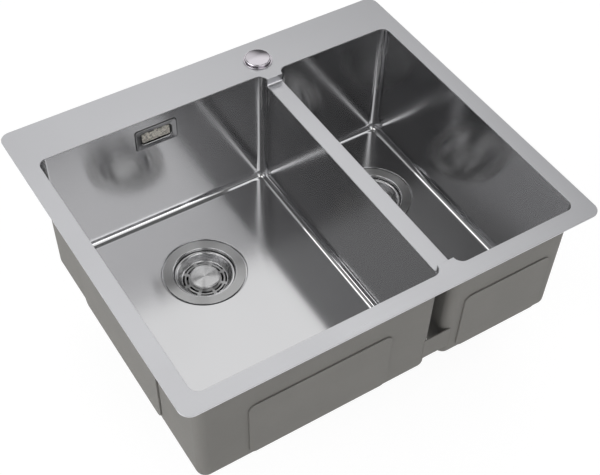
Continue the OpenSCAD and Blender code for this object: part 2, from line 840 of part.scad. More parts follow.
// Dish with its lip; the two rings of slots are cut through its floor
module basket() {
    color(steel) difference() {
        rotate_extrude() polygon([
            [lip_r, -basket_drop], [lip_r, -basket_drop - basket_t],
            [lip_in_r + dish_side, -basket_drop - basket_t], [dish_r + dish_side, dish_under],
            [post_r + screw_gap, dish_under], [post_r + screw_gap, dish_level],
            [dish_r, dish_level], [lip_in_r, -basket_drop]
        ]);
        slot_ring(slot_outer_r);
        slot_ring(slot_inner_r);
    }
}

module slot_ring(r) {
    bridge_angle = slot_bridge / slot_outer_r * 180 / PI;
    slot_angle = 360 / slot_count - bridge_angle;
    for (i = [0:slot_count - 1]) rotate([0, 0, i * 360 / slot_count + bridge_angle / 2])
        rotate_extrude(angle = slot_angle)
            translate([r - slot_w / 2, dish_under - past]) square([slot_w, basket_t + 2 * past]);
}

module basket_cap() {
    edge_x = cap_r - cap_edge_r;
    color(steel) rotate_extrude() {
        translate([0, cap_level - cap_t]) square([edge_x, cap_t]);
        translate([edge_x, cap_level - cap_edge_r]) mirror([0, 1]) quarter_ring(cap_edge_r - cap_t, cap_t);
        translate([cap_r - cap_t, dish_level]) square([cap_t, cap_h - cap_edge_r]);
    }
}

module basket_seal() {
    color(rubber) translate([0, 0, -basket_drop - basket_t - basket_seal_t])
        tube(lip_r + lip_gap / 2, lip_in_r + dish_side + screw_gap, basket_seal_t);
}

module basket_post(under) {
    color(brass) {
        translate([0, 0, dish_level]) cylinder(r = post_head_r, h = post_head_h);
        translate([0, 0, under]) cylinder(r = post_r, h = dish_level - under);
    }
}

module main_strainer_flange() {
    at_drain(main_drain_x) strainer_flange();
}

module half_strainer_flange() {
    at_drain(half_x) strainer_flange();
}

module main_flange_gasket() {
    at_drain(main_drain_x) flange_gasket();
}

module half_flange_gasket() {
    at_drain(half_x) flange_gasket();
}

module main_body_gasket() {
    at_drain(main_drain_x) body_gasket();
}

module half_body_gasket() {
    at_drain(half_x) body_gasket();
}

module main_clamp_screws() {
    at_drain(main_drain_x) clamp_screws();
}

module half_clamp_screws() {
    at_drain(half_x) clamp_screws();
}

// Waste body with the overflow's spigot and the hole for the cable's arm
module main_waste_body() {
    spigot_l = body_wall + return_shoulder + return_l;
    color(plastic) at_drain(main_drain_x) difference() {
        union() {
            rotate_extrude() body_profile();
            translate([0, body_r + bite, return_level]) rotate([-90, 0, 0]) {
                cylinder(r = return_r + return_shoulder, h = body_wall + return_shoulder - bite);
                cylinder(r = return_r, h = spigot_l - bite);
            }
        }
        translate([0, 0, arm_level]) rotate([0, -90, 0]) cylinder(r = arm_r + screw_gap, h = arm_end);
        translate([0, body_r - past, return_level]) rotate([-90, 0, 0])
            cylinder(r = return_r - housing_wall, h = spigot_l + 2 * past);
    }
}

module half_waste_body() {
    color(plastic) at_drain(half_x) rotate_extrude() body_profile();
}

module main_waste_funnel() {
    at_drain(main_drain_x) waste_funnel();
}

module half_waste_funnel() {
    at_drain(half_x) waste_funnel();
}

// The sleeve guides the lift pin
module main_waste_spider() {
    sleeve_under = spider_under - sleeve_down;
    at_drain(main_drain_x) waste_spider(sleeve_under, sleeve_under - past, pin_r + run_gap);
}

// The socket takes the half basket's peg
module half_waste_spider() {
    at_drain(half_x) waste_spider(spider_under, half_post_under - rest_gap, post_r + rest_gap);
}

// Tube that leads the cable under the lift pin, pushed in from outside up to its collar
module waste_cable_arm() {
    color(plastic) at_drain(main_drain_x)
    translate([arm_r, 0, arm_level]) rotate([0, -90, 0]) difference() {
        union() {
            cylinder(r = arm_r, h = arm_r + arm_end);
            translate([0, 0, arm_r + body_out_r]) cylinder(r = arm_r + collar_lap, h = arm_out);
        }
        translate([0, 0, arm_r]) cylinder(r = arm_bore_r, h = arm_end + past);
        translate([0, 0, arm_r]) rotate([0, 90, 0]) cylinder(r = pin_r + run_gap, h = arm_r + past);
    }
}

module waste_cable_gland() {
    color(brass) at_drain(main_drain_x)
    translate([nose_l - arm_end, 0, arm_level]) rotate([0, -90, 0]) difference() {
        union() {
            cylinder(r = cable_r + nose_wall, h = nose_l + bite);
            translate([0, 0, nose_l]) cylinder(r = arm_r + gland_lap, h = waste_gland_l);
        }
        translate([0, 0, -past]) cylinder(r = cable_r, h = nose_l + waste_gland_l + 2 * past);
    }
}

module lift_pin() {
    color(steel) at_drain(main_drain_x) translate([0, 0, pin_under]) cylinder(r = pin_r, h = pin_l);
}

module main_basket() {
    at_drain(main_drain_x) basket();
}

module half_basket() {
    at_drain(half_x) basket();
}

module main_basket_cap() {
    at_drain(main_drain_x) basket_cap();
}

module half_basket_cap() {
    at_drain(half_x) basket_cap();
}

module main_basket_seal() {
    at_drain(main_drain_x) basket_seal();
}

module half_basket_seal() {
    at_drain(half_x) basket_seal();
}

module main_basket_post() {
    at_drain(main_drain_x) basket_post(main_post_under);
}

module half_basket_post() {
    at_drain(half_x) basket_post(half_post_under);
}

// Button

module at_button(z) {
    translate([button_x, button_y, z]) children();
}

// Ring on the ledge with the barrel that hangs from it
module button_bezel() {
    color(chrome) at_button(0) difference() {
        union() {
            translate([0, 0, button_bezel_z]) cylinder(r = button_bezel_r, h = button_bezel_t);
            translate([0, 0, barrel_under]) cylinder(r = barrel_r, h = button_bezel_z - barrel_under + bite);
        }
        translate([0, 0, barrel_under + barrel_floor_t]) cylinder(r = bore_r, h = barrel_l + button_h);
        translate([0, 0, barrel_under - past]) cylinder(r = stem_r + run_gap, h = barrel_floor_t + 2 * past);
    }
}

// Cap with a rounded shoulder and a skirt that slides in the barrel
module button_cap() {
    shoulder_x = button_r - shoulder_r;
    shoulder_z = cap_top_z - shoulder_r;
    color(chrome) at_button(0) rotate_extrude() {
        translate([0, cap_inner_z]) square([shoulder_x, button_wall]);
        translate([shoulder_x, shoulder_z]) mirror([0, 1]) quarter_ring(shoulder_r - button_wall, button_wall);
        translate([button_r - button_wall, top_z - skirt_l])
            square([button_wall, shoulder_z - top_z + skirt_l]);
    }
}

module button_stem() {
    color(brass) at_button(stem_under) cylinder(r = stem_r, h = cap_inner_z - stem_under);
}

// Space that the coil spring fills between the barrel's floor and the cap
module button_spring() {
    spring_r = stem_r + spring_gap;
    color(steel) at_button(barrel_under + barrel_floor_t)
        tube(spring_r + spring_wall, spring_r, cap_inner_z - barrel_under - barrel_floor_t);
}

module button_seal() {
    color(rubber) at_button(top_z) tube(button_bezel_r - barrel_gap, barrel_r + barrel_gap, button_seal_t);
}

module button_washer() {
    color(plastic) at_button(washer_z) tube(nut_r, barrel_r + barrel_gap, washer_t);
}

module button_back_nut() {
    color(brass) at_button(washer_z - nut_h) difference() {
        cylinder(r = nut_r, h = nut_h, $fn = 6);
        translate([0, 0, -past]) cylinder(r = barrel_r + screw_gap, h = nut_h + 2 * past);
    }
}

// Socket under the barrel where the stem meets the cable
module button_cable_gland() {
    chamber = stem_out + button_travel + end_gap;
    color(brass) at_button(barrel_under - button_gland_l) difference() {
        cylinder(r = stem_r + button_gland_wall, h = button_gland_l);
        translate([0, 0, button_gland_l - chamber]) cylinder(r = stem_r + rest_gap, h = chamber + past);
        translate([0, 0, -past]) cylinder(r = cable_r, h = button_gland_l);
    }
}

deck();
main_bowl();
half_bowl();
divider_bridge();
front_brace();
rear_brace();
main_front_pad();
main_left_pad();
main_floor_pad();
half_front_pad();
half_right_pad();
half_floor_pad();
worktop_seal();
overflow_bezel();
overflow_insert();
overflow_gasket();
overflow_housing();
overflow_screws();
main_strainer_flange();
main_flange_gasket();
main_body_gasket();
main_clamp_screws();
main_waste_body();
main_waste_spider();
main_waste_funnel();
half_strainer_flange();
half_flange_gasket();
half_body_gasket();
half_clamp_screws();
half_waste_body();
half_waste_spider();
half_waste_funnel();
waste_cable_arm();
waste_cable_gland();
lift_pin();
main_basket();
main_basket_cap();
main_basket_seal();
main_basket_post();
half_basket();
half_basket_cap();
half_basket_seal();
half_basket_post();
button_bezel();
button_cap();
button_stem();
button_spring();
button_seal();
button_washer();
button_back_nut();
button_cable_gland();
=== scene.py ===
"""Looks of an inset kitchen sink with a main bowl, a half bowl and a lowered divider between them."""
import json
from math import acos, asin, cos, pi, radians, sin, tan

import bmesh
import bpy
import numpy as np
from mathutils import Matrix, Vector
from mathutils.geometry import tessellate_polygon


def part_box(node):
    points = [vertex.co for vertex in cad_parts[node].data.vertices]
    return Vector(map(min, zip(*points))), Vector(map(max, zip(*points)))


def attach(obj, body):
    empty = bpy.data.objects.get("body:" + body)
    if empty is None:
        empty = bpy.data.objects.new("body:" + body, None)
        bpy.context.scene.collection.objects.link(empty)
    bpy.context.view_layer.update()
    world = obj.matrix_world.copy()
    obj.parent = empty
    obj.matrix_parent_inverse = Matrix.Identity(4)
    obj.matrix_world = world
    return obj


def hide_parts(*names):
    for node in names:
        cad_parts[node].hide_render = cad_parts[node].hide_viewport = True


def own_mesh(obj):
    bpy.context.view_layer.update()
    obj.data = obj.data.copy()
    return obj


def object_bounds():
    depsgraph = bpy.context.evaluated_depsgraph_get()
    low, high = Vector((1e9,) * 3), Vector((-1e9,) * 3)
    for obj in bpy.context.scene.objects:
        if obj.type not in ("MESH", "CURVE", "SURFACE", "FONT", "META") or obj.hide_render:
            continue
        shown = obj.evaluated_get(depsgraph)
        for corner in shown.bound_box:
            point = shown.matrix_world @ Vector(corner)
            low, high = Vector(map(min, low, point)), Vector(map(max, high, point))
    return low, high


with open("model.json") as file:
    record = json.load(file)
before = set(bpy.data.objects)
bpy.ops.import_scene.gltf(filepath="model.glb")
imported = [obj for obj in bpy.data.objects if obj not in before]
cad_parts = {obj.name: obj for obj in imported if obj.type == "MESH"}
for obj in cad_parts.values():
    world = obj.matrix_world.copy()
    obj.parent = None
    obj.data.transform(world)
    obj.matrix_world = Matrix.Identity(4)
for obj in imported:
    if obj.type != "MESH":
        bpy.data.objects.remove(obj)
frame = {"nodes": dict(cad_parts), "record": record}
cad_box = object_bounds()

MM = 0.001
# Points nearer to each other than these, in metres, count as one
SAME = 1e-6
SAME_IN_OUTLINE = 1e-7

# Sizes of the sheet work, in metres
SHEET = 1.2 * MM
DECK_CORNER_R = 15 * MM
DECK_EDGE_R = 0.45 * MM
UNDER_EDGE_R = 0.2 * MM
BUTTON_HOLE_R = 19.2 * MM
BOWL_R = 12 * MM
FLOOR_R = 10 * MM
DIVIDER_T = 1.5 * MM
DIVIDER_FOOT_R = 3.5 * MM
DIVIDER_EDGE_R = 0.7 * MM
PAD_EDGE_R = 0.8 * MM
PAD_BACK_R = 0.5 * MM
PAD_CORNER_R = 10 * MM

# Places that the frame gives
deck_lo, deck_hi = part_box("deck")
main_lo, main_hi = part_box("main_bowl")
half_lo, half_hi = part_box("half_bowl")
bridge_lo, bridge_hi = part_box("divider_bridge")
bezel_lo, bezel_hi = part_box("overflow_bezel")
main_ring_lo, main_ring_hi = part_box("main_strainer_flange")
half_ring_lo, half_ring_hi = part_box("half_strainer_flange")
floor_z = main_ring_hi.z
deck_under_z = deck_lo.z
deck_top_z = deck_hi.z
bowl_y0 = main_lo.y + SHEET
bowl_y1 = main_hi.y - SHEET
main_x0, main_x1 = main_lo.x + SHEET, main_hi.x - SHEET
half_x0, half_x1 = half_lo.x + SHEET, half_hi.x - SHEET
tab_y0 = bridge_lo.y + DIVIDER_T
tab_y1 = bridge_hi.y - DIVIDER_T
tread_z = bridge_lo.z + DIVIDER_T
main_drain = (main_ring_lo + main_ring_hi) / 2
half_drain = (half_ring_lo + half_ring_hi) / 2
strainer_r = (main_ring_hi.x - main_ring_lo.x) / 2


# Outlines and meshes

def rounded(corners, steps=8):
    """Points of a closed outline through corners (x, y, radius), each rounded by its own radius."""
    points = []
    for i, (x, y, r) in enumerate(corners):
        here = Vector((x, y))
        before = (Vector(corners[i - 1][:2]) - here).normalized()
        after = (Vector(corners[(i + 1) % len(corners)][:2]) - here).normalized()
        if r == 0:
            points.append(here)
            continue
        half = acos(max(-1.0, min(1.0, before.dot(after)))) / 2
        centre = here + (before + after).normalized() * r / sin(half)
        start = here + before * r / tan(half) - centre
        turn = (pi - 2 * half) * (1 if before.cross(after) < 0 else -1)
        points += [centre + start @ Matrix.Rotation(-turn * k / steps, 2) for k in range(steps + 1)]
    return [p for i, p in enumerate(points) if (p - points[i - 1]).length > SAME_IN_OUTLINE]


def box_outline(x0, x1, y0, y1, r, steps=10):
    """A rectangle between two corners, with rounded ones."""
    return rounded([(x0, y0, r), (x1, y0, r), (x1, y1, r), (x0, y1, r)], steps)


def circle_outline(x, y, r, steps=96):
    """A circle, anticlockwise."""
    return [Vector((x + r * cos(2 * pi * k / steps), y + r * sin(2 * pi * k / steps))) for k in range(steps)]


def inset(loop, depth):
    """The closed loop moved to its left side by depth."""
    points = np.array([tuple(p) for p in loop])
    along = np.roll(points, -1, 0) - points
    along /= np.linalg.norm(along, axis=1)[:, None]
    left = np.stack([-along[:, 1], along[:, 0]], 1)
    before = np.roll(left, 1, 0)
    return points + depth * (left + before) / (1 + (left * before).sum(1))[:, None]


def edge_section(high, low, top_r, under_r, steps=4):
    """Depth and level of each ring round a plate's edge, from its top to its underside."""
    quarter = [k * pi / 2 / steps for k in range(steps + 1)]
    section = [(top_r * (1 - sin(a)), high - top_r * (1 - cos(a))) for a in quarter]
    section += [(under_r * (1 - sin(a)), low + under_r * (1 - cos(a))) for a in reversed(quarter)]
    return section


def plate(loops, section):
    """A plate with holes. The first loop runs anticlockwise and the holes clockwise."""
    points, faces = [], []
    for loop in loops:
        count = len(loop)
        for ring, (depth, level) in enumerate(section):
            start = len(points)
            points += [(x, y, level) for x, y in inset(loop, depth)]
            if ring:
                for i in range(count):
                    j = (i + 1) % count
                    faces.append((start - count + i, start + i, start + j, start - count + j))
    for ring in (0, len(section) - 1):
        depth, level = section[ring]
        flat = [[Vector((x, y, 0)) for x, y in inset(loop, depth)] for loop in loops]
        index = []
        start = 0
        for loop in loops:
            index += range(start + ring * len(loop), start + (ring + 1) * len(loop))
            start += len(section) * len(loop)
        faces += [tuple(index[k] for k in triangle) for triangle in tessellate_polygon(flat)]
    return points, faces


EVEN_TURN = [2 * pi * i / 128 for i in range(128)]


def lathe(section, centre, angles=EVEN_TURN):
    """A closed section of (radius, height) turned round the upright axis through centre."""
    points, faces = [], []
    columns = len(angles)
    for r, z in section:
        for a in angles:
            points.append((centre.x + r * cos(a), centre.y + r * sin(a), centre.z + z))
    for k in range(len(section)):
        n = (k + 1) % len(section)
        for i in range(columns):
            j = (i + 1) % columns
            faces.append((k * columns + i, k * columns + j, n * columns + j, n * columns + i))
    return points, faces


def turned(corners, steps=5):
    """Section of a turned piece through corners (radius, height, rounding)."""
    return [tuple(p) for p in rounded(corners, steps)]


def make(name, shape, materials, body="sink", nodes=(), painted=None, sharp=32):
    """Makes a piece of the sink from points and faces, with flat faces shaded flat and bends smooth."""
    mesh = bpy.data.meshes.new(name)
    mesh.from_pydata([tuple(p) for p in shape[0]], [], shape[1])
    for material in materials:
        mesh.materials.append(material)
    if painted is not None:
        mesh.polygons.foreach_set("material_index", painted)
    work = bmesh.new()
    work.from_mesh(mesh)
    bmesh.ops.remove_doubles(work, verts=work.verts, dist=SAME)
    bmesh.ops.dissolve_degenerate(work, edges=work.edges, dist=SAME_IN_OUTLINE)
    bmesh.ops.recalc_face_normals(work, faces=work.faces)
    work.to_mesh(mesh)
    work.free()
    mesh.shade_smooth()
    mesh.set_sharp_from_angle(angle=radians(sharp))
    piece = bpy.data.objects.new(name, mesh)
    bpy.context.scene.collection.objects.link(piece)
    weighted = piece.modifiers.new("Flat faces stay flat", "WEIGHTED_NORMAL")
    weighted.keep_sharp = True
    weighted.weight = 90
    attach(piece, body)
    if nodes:
        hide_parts(*nodes)
    return piece


def stood_up(shape, x, y, z):
    """A shape drawn flat, stood upright with its top facing the front."""
    return [(x + px, y - pz, z + py) for px, py, pz in shape[0]], shape[1]


def stood_sideways(shape, x, y, z, side):
    """A shape drawn flat, stood upright with its top facing left for side -1 and right for side 1."""
    return [(x + side * pz, y + side * px, z + py) for px, py, pz in shape[0]], shape[1]


# Materials

# Between these two lies most of a noise's range
NOISE_LOW, NOISE_HIGH = 0.3, 0.7


class Graph:
    """Short way to add and link shader nodes."""

    def __init__(self, name):
        self.material = bpy.data.materials.new(name)
        self.material.use_nodes = True
        self.tree = self.material.node_tree
        self.shader = self.tree.nodes["Principled BSDF"]

    def add(self, kind, **settings):
        node = self.tree.nodes.new("ShaderNode" + kind)
        for key, value in settings.items():
            setattr(node, key, value)
        return node

    def link(self, start, end):
        self.tree.links.new(start, end)

    def place(self, scale):
        """Coordinates on the object, in metres, stretched by scale."""
        where = self.add("TexCoord")
        spread = self.add("Mapping")
        spread.inputs["Scale"].default_value = scale
        self.link(where.outputs["Object"], spread.inputs["Vector"])
        return spread.outputs["Vector"]

    def noise(self, scale, detail=3.0, where=None):
        """Noise from 0 to 1 over the object, or over the coordinates where."""
        node = self.add("TexNoise")
        node.inputs["Scale"].default_value = 1.0
        node.inputs["Detail"].default_value = detail
        node.inputs["Roughness"].default_value = 0.55
        self.link(where or self.place(scale), node.inputs["Vector"])
        return node.outputs["Fac"]

    def spread(self, value, low, high, start=NOISE_LOW, end=NOISE_HIGH):
        """Value that goes from low to high while the given one goes from start to end."""
        node = self.add("MapRange")
        node.inputs["From Min"].default_value = start
        node.inputs["From Max"].default_value = end
        node.inputs["To Min"].default_value = low
        node.inputs["To Max"].default_value = high
        self.link(value, node.inputs["Value"])
        return node.outputs["Result"]

    def mix(self, factor, a, b):
        """Colour between a and b. Each input is a plain value or another node's socket."""
        node = self.add("Mix", data_type="RGBA")
        for value, socket in ((factor, node.inputs[0]), (a, node.inputs[6]), (b, node.inputs[7])):
            if isinstance(value, bpy.types.NodeSocket):
                self.link(value, socket)
            else:
                socket.default_value = value
        return node.outputs[2]

    def math(self, operation, a, b):
        """Result of a sum or product of two plain values or sockets."""
        node = self.add("Math", operation=operation)
        for value, socket in ((a, node.inputs[0]), (b, node.inputs[1])):
            if isinstance(value, bpy.types.NodeSocket):
                self.link(value, socket)
            else:
                socket.default_value = value
        return node.outputs[0]

    def bump(self, height, strength, distance):
        """Fine relief on the shader's normal."""
        node = self.add("Bump")
        node.inputs["Strength"].default_value = strength
        node.inputs["Distance"].default_value = distance
        self.link(height, node.inputs["Height"])
        self.link(node.outputs["Normal"], self.shader.inputs["Normal"])


def constant(graph, **values):
    """Sets plain values on the shader's own sockets."""
    for key, value in values.items():
        graph.shader.inputs[key.replace("_", " ")].default_value = value


# Depths of the finest relief, and how many steps of noise lie on a metre across turned metal
STREAK_DEPTH = 0.001 * MM
GROOVE_DEPTH = 0.006 * MM
GRAIN_DEPTH = 0.2 * MM
GROOVES = 2600.0


def brushed(name, colour, roughness, anisotropy, blur, streaks, vary, tint, relief=0.0):
    """Brushed metal. The grain spreads a reflection in the direction blur, and streaks is the noise's scale.

    vary is how much the roughness changes, tint how much the tone does, and relief the strength of the bump."""
    graph = Graph(name)
    constant(graph, Metallic=1.0, Anisotropic=anisotropy)
    fine = graph.noise(streaks, 4.0)
    cloud = graph.noise((9, 9, 9), 2.0)
    dark = tuple(c * (1 - tint) for c in colour) + (1,)
    light = tuple(min(1.0, c * (1 + tint)) for c in colour) + (1,)
    graph.link(graph.mix(fine, dark, light), graph.shader.inputs["Base Color"])
    change = graph.math("ADD", graph.spread(fine, -vary, vary), graph.spread(cloud, -0.015, 0.015))
    graph.link(graph.math("ADD", change, roughness), graph.shader.inputs["Roughness"])
    way = graph.add("CombineXYZ")
    for axis, value in zip("XYZ", blur):
        way.inputs[axis].default_value = value
    graph.link(way.outputs[0], graph.shader.inputs["Tangent"])
    if relief:
        graph.bump(fine, relief, STREAK_DEPTH)
    return graph.material


def turned_metal(name, colour, roughness, anisotropy, centre):
    """Metal turned on a lathe round an upright axis: fine rings that spread a reflection outwards."""
    graph = Graph(name)
    constant(graph, Metallic=1.0, Anisotropic=anisotropy)
    where = graph.add("TexCoord")
    arm = graph.add("VectorMath", operation="SUBTRACT")
    arm.inputs[1].default_value = (centre.x, centre.y, 0)
    graph.link(where.outputs["Object"], arm.inputs[0])
    flat = graph.add("VectorMath", operation="MULTIPLY")
    flat.inputs[1].default_value = (1, 1, 0)
    graph.link(arm.outputs[0], flat.inputs[0])
    graph.link(flat.outputs[0], graph.shader.inputs["Tangent"])
    reach = graph.add("VectorMath", operation="LENGTH")
    graph.link(flat.outputs[0], reach.inputs[0])
    groove = graph.add("CombineXYZ")
    graph.link(graph.math("MULTIPLY", reach.outputs["Value"], GROOVES), groove.inputs["X"])
    rings = graph.noise(None, 3.0, groove.outputs[0])
    dark = tuple(c * 0.9 for c in colour) + (1,)
    light = tuple(min(1.0, c * 1.08) for c in colour) + (1,)
    graph.link(graph.mix(rings, dark, light), graph.shader.inputs["Base Color"])
    graph.link(graph.spread(rings, roughness - 0.04, roughness + 0.04), graph.shader.inputs["Roughness"])
    graph.bump(rings, 0.25, GROOVE_DEPTH)
    return graph.material


def coated(name, colour, roughness, grain, relief, patch=0.03, spots=14):
    """Sprayed or moulded surface with a fine grain, and spots whose tone differs by patch."""
    graph = Graph(name)
    fine = graph.noise((grain,) * 3, 3.0)
    cloud = graph.spread(graph.noise((spots,) * 3, 3.0), 0, 1, 0.35, 0.65)
    dark = tuple(c * (1 - patch) for c in colour) + (1,)
    light = tuple(c * (1 + patch) for c in colour) + (1,)
    graph.link(graph.mix(cloud, dark, light), graph.shader.inputs["Base Color"])
    graph.link(graph.spread(fine, roughness - 0.06, roughness + 0.06), graph.shader.inputs["Roughness"])
    graph.bump(fine, relief, GRAIN_DEPTH)
    return graph.material


def polished(name, colour, roughness):
    """Smooth metal with faint marks of wiping."""
    graph = Graph(name)
    constant(graph, Metallic=1.0)
    wipe = graph.noise((60, 160, 90), 4.0)
    graph.link(graph.spread(wipe, roughness * 0.7, roughness * 1.3), graph.shader.inputs["Roughness"])
    dark = tuple(c * 0.97 for c in colour) + (1,)
    graph.link(graph.mix(wipe, dark, colour + (1,)), graph.shader.inputs["Base Color"])
    return graph.material


SHEET_FINISH = {"colour": (0.62, 0.622, 0.642), "roughness": 0.30, "anisotropy": 0.5,
                "vary": 0.012, "tint": 0.010, "relief": 0.2}
BOWL_FINISH = {"roughness": 0.14, "anisotropy": 0.85, "blur": (0, 0.05, 1), "streaks": (8, 8, 260),
               "vary": 0.004, "tint": 0.006}
COAT_COLOUR = (0.190, 0.184, 0.172)

deck_steel = brushed("deck_steel", blur=(0, 1, 0), streaks=(10, 800, 10), **SHEET_FINISH)
tread_steel = brushed("tread_steel", blur=(1, 0, 0), streaks=(800, 10, 10), **SHEET_FINISH)
bowl_steel = brushed("bowl_steel", (0.62, 0.62, 0.629), **BOWL_FINISH)
# Painted shade: the half bowl has the same steel as the main bowl, given a darker tone so that its walls reflect
# darker
shaded_half_steel = brushed("half_bowl_steel_painted_shade", (0.575, 0.575, 0.583), **BOWL_FINISH)
bend_steel = polished("bend_steel", (0.74, 0.74, 0.75), 0.07)
ring_steel, cap_steel, cup_steel = {}, {}, {}
for bowl, centre in (("main", main_drain), ("half", half_drain)):
    ring_steel[bowl] = turned_metal("ring_steel_" + bowl, (0.51, 0.51, 0.51), 0.30, 0.98, centre)
    cap_steel[bowl] = turned_metal("cap_steel_" + bowl, (0.72, 0.72, 0.72), 0.28, 0.98, centre)
    cup_steel[bowl] = turned_metal("cup_steel_" + bowl, (0.74, 0.74, 0.745), 0.20, 0.9, centre)
bright_steel = polished("bright_steel", (0.68, 0.68, 0.69), 0.16)
# Painted shade: the bezel's steel has a darker tone that stands in for dimmer reflections on it
bezel_steel_painted_shade = polished("bezel_steel_painted_shade", (0.36, 0.36, 0.365), 0.13)
chrome = polished("chrome", (0.64, 0.61, 0.65), 0.06)
undercoat = coated("undercoat", COAT_COLOUR, 0.72, 900, 0.12)
pad_coat = coated("pad_coat", COAT_COLOUR, 0.70, 900, 0.12)
rubber = coated("rubber", (0.03, 0.03, 0.03), 0.75, 700, 0.1)
plastic = coated("black_plastic", (0.035, 0.036, 0.04), 0.45, 1400, 0.08)
brass = polished("brass", (0.60, 0.47, 0.24), 0.22)
resin = coated("resin", (0.56, 0.535, 0.48), 0.32, 420, 0.4, patch=0.45, spots=420)


# Flange

def deck_sheet():
    """The flange with one opening for both bowls, which narrows at the divider, and the button's hole."""
    r = BOWL_R
    opening = rounded([
        (main_x0, bowl_y0, r), (main_x1, bowl_y0, r), (main_x1, tab_y0, 0), (half_x0, tab_y0, 0),
        (half_x0, bowl_y0, r), (half_x1, bowl_y0, r), (half_x1, bowl_y1, r), (half_x0, bowl_y1, r),
        (half_x0, tab_y1, 0), (main_x1, tab_y1, 0), (main_x1, bowl_y1, r), (main_x0, bowl_y1, r)], 12)
    outline = box_outline(deck_lo.x, deck_hi.x, deck_lo.y, deck_hi.y, DECK_CORNER_R, 14)
    button_lo, button_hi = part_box("button_washer")
    button = (button_lo + button_hi) / 2
    hole = circle_outline(button.x, button.y, BUTTON_HOLE_R)
    section = edge_section(deck_top_z, deck_under_z, DECK_EDGE_R, UNDER_EDGE_R)
    return plate([outline, opening[::-1], hole[::-1]], section)


make("deck_sheet", deck_sheet(), [deck_steel], nodes=["deck"])


# Bowls

# Middle and half sizes of the hole that the overflow's collar passes
overflow = (bezel_lo + bezel_hi) / 2
WINDOW_W = 29.9 * MM
WINDOW_H = 10.9 * MM
# Pressed seat of the strainer
SEAT_R = 59.2 * MM
SEAT_DEPTH = 2.2 * MM
SEAT_LIP_R = 1.2 * MM
DRAIN_HOLE_R = 45 * MM
# From the middle of a corner's curve to the edge of the flat floor
FLOOR_EDGE = BOWL_R - FLOOR_R
FILLET_STEPS = 12
DRAIN_STEPS = 96
LIP_STEPS = 4
# No column stands nearer than this to a corner
COLUMN_ROOM = 1.5 * MM


def bowl_columns(x0, x1, y0, y1, drain, cuts):
    """Base point and outward direction of each upright column of a bowl's wall, anticlockwise."""
    bx0, bx1, by0, by1 = x0 + BOWL_R, x1 - BOWL_R, y0 + BOWL_R, y1 - BOWL_R
    notch = asin(DIVIDER_T / BOWL_R)
    corner = sorted([k * pi / 2 / FILLET_STEPS for k in range(FILLET_STEPS + 1)] + [notch, pi / 2 - notch])
    rays = [2 * pi * k / DRAIN_STEPS for k in range(DRAIN_STEPS)]
    columns = []
    sides = [((bx1, by0), (bx1, by1), 0), ((bx1, by1), (bx0, by1), pi / 2),
             ((bx0, by1), (bx0, by0), pi), ((bx0, by0), (bx1, by0), 3 * pi / 2)]
    for start, end, facing in sides:
        start, end = Vector(start), Vector(end)
        away = Vector((cos(facing), sin(facing)))
        along = (end - start).normalized()
        reach = (start - drain).dot(away) + FLOOR_EDGE
        stops = []
        for ray in rays:
            way = Vector((cos(ray), sin(ray)))
            if way.dot(away) > 0.05:
                stops.append((way * reach / way.dot(away) - (start - drain)).dot(along))
        if facing == pi / 2:
            stops += [start.x - x for x in cuts]
        length = (end - start).length
        stops = sorted(s for s in stops if COLUMN_ROOM < s < length - COLUMN_ROOM)
        columns += [(start + along * s, away) for s in stops]
        columns += [(end, Vector((cos(facing + a), sin(facing + a)))) for a in corner]
    return columns


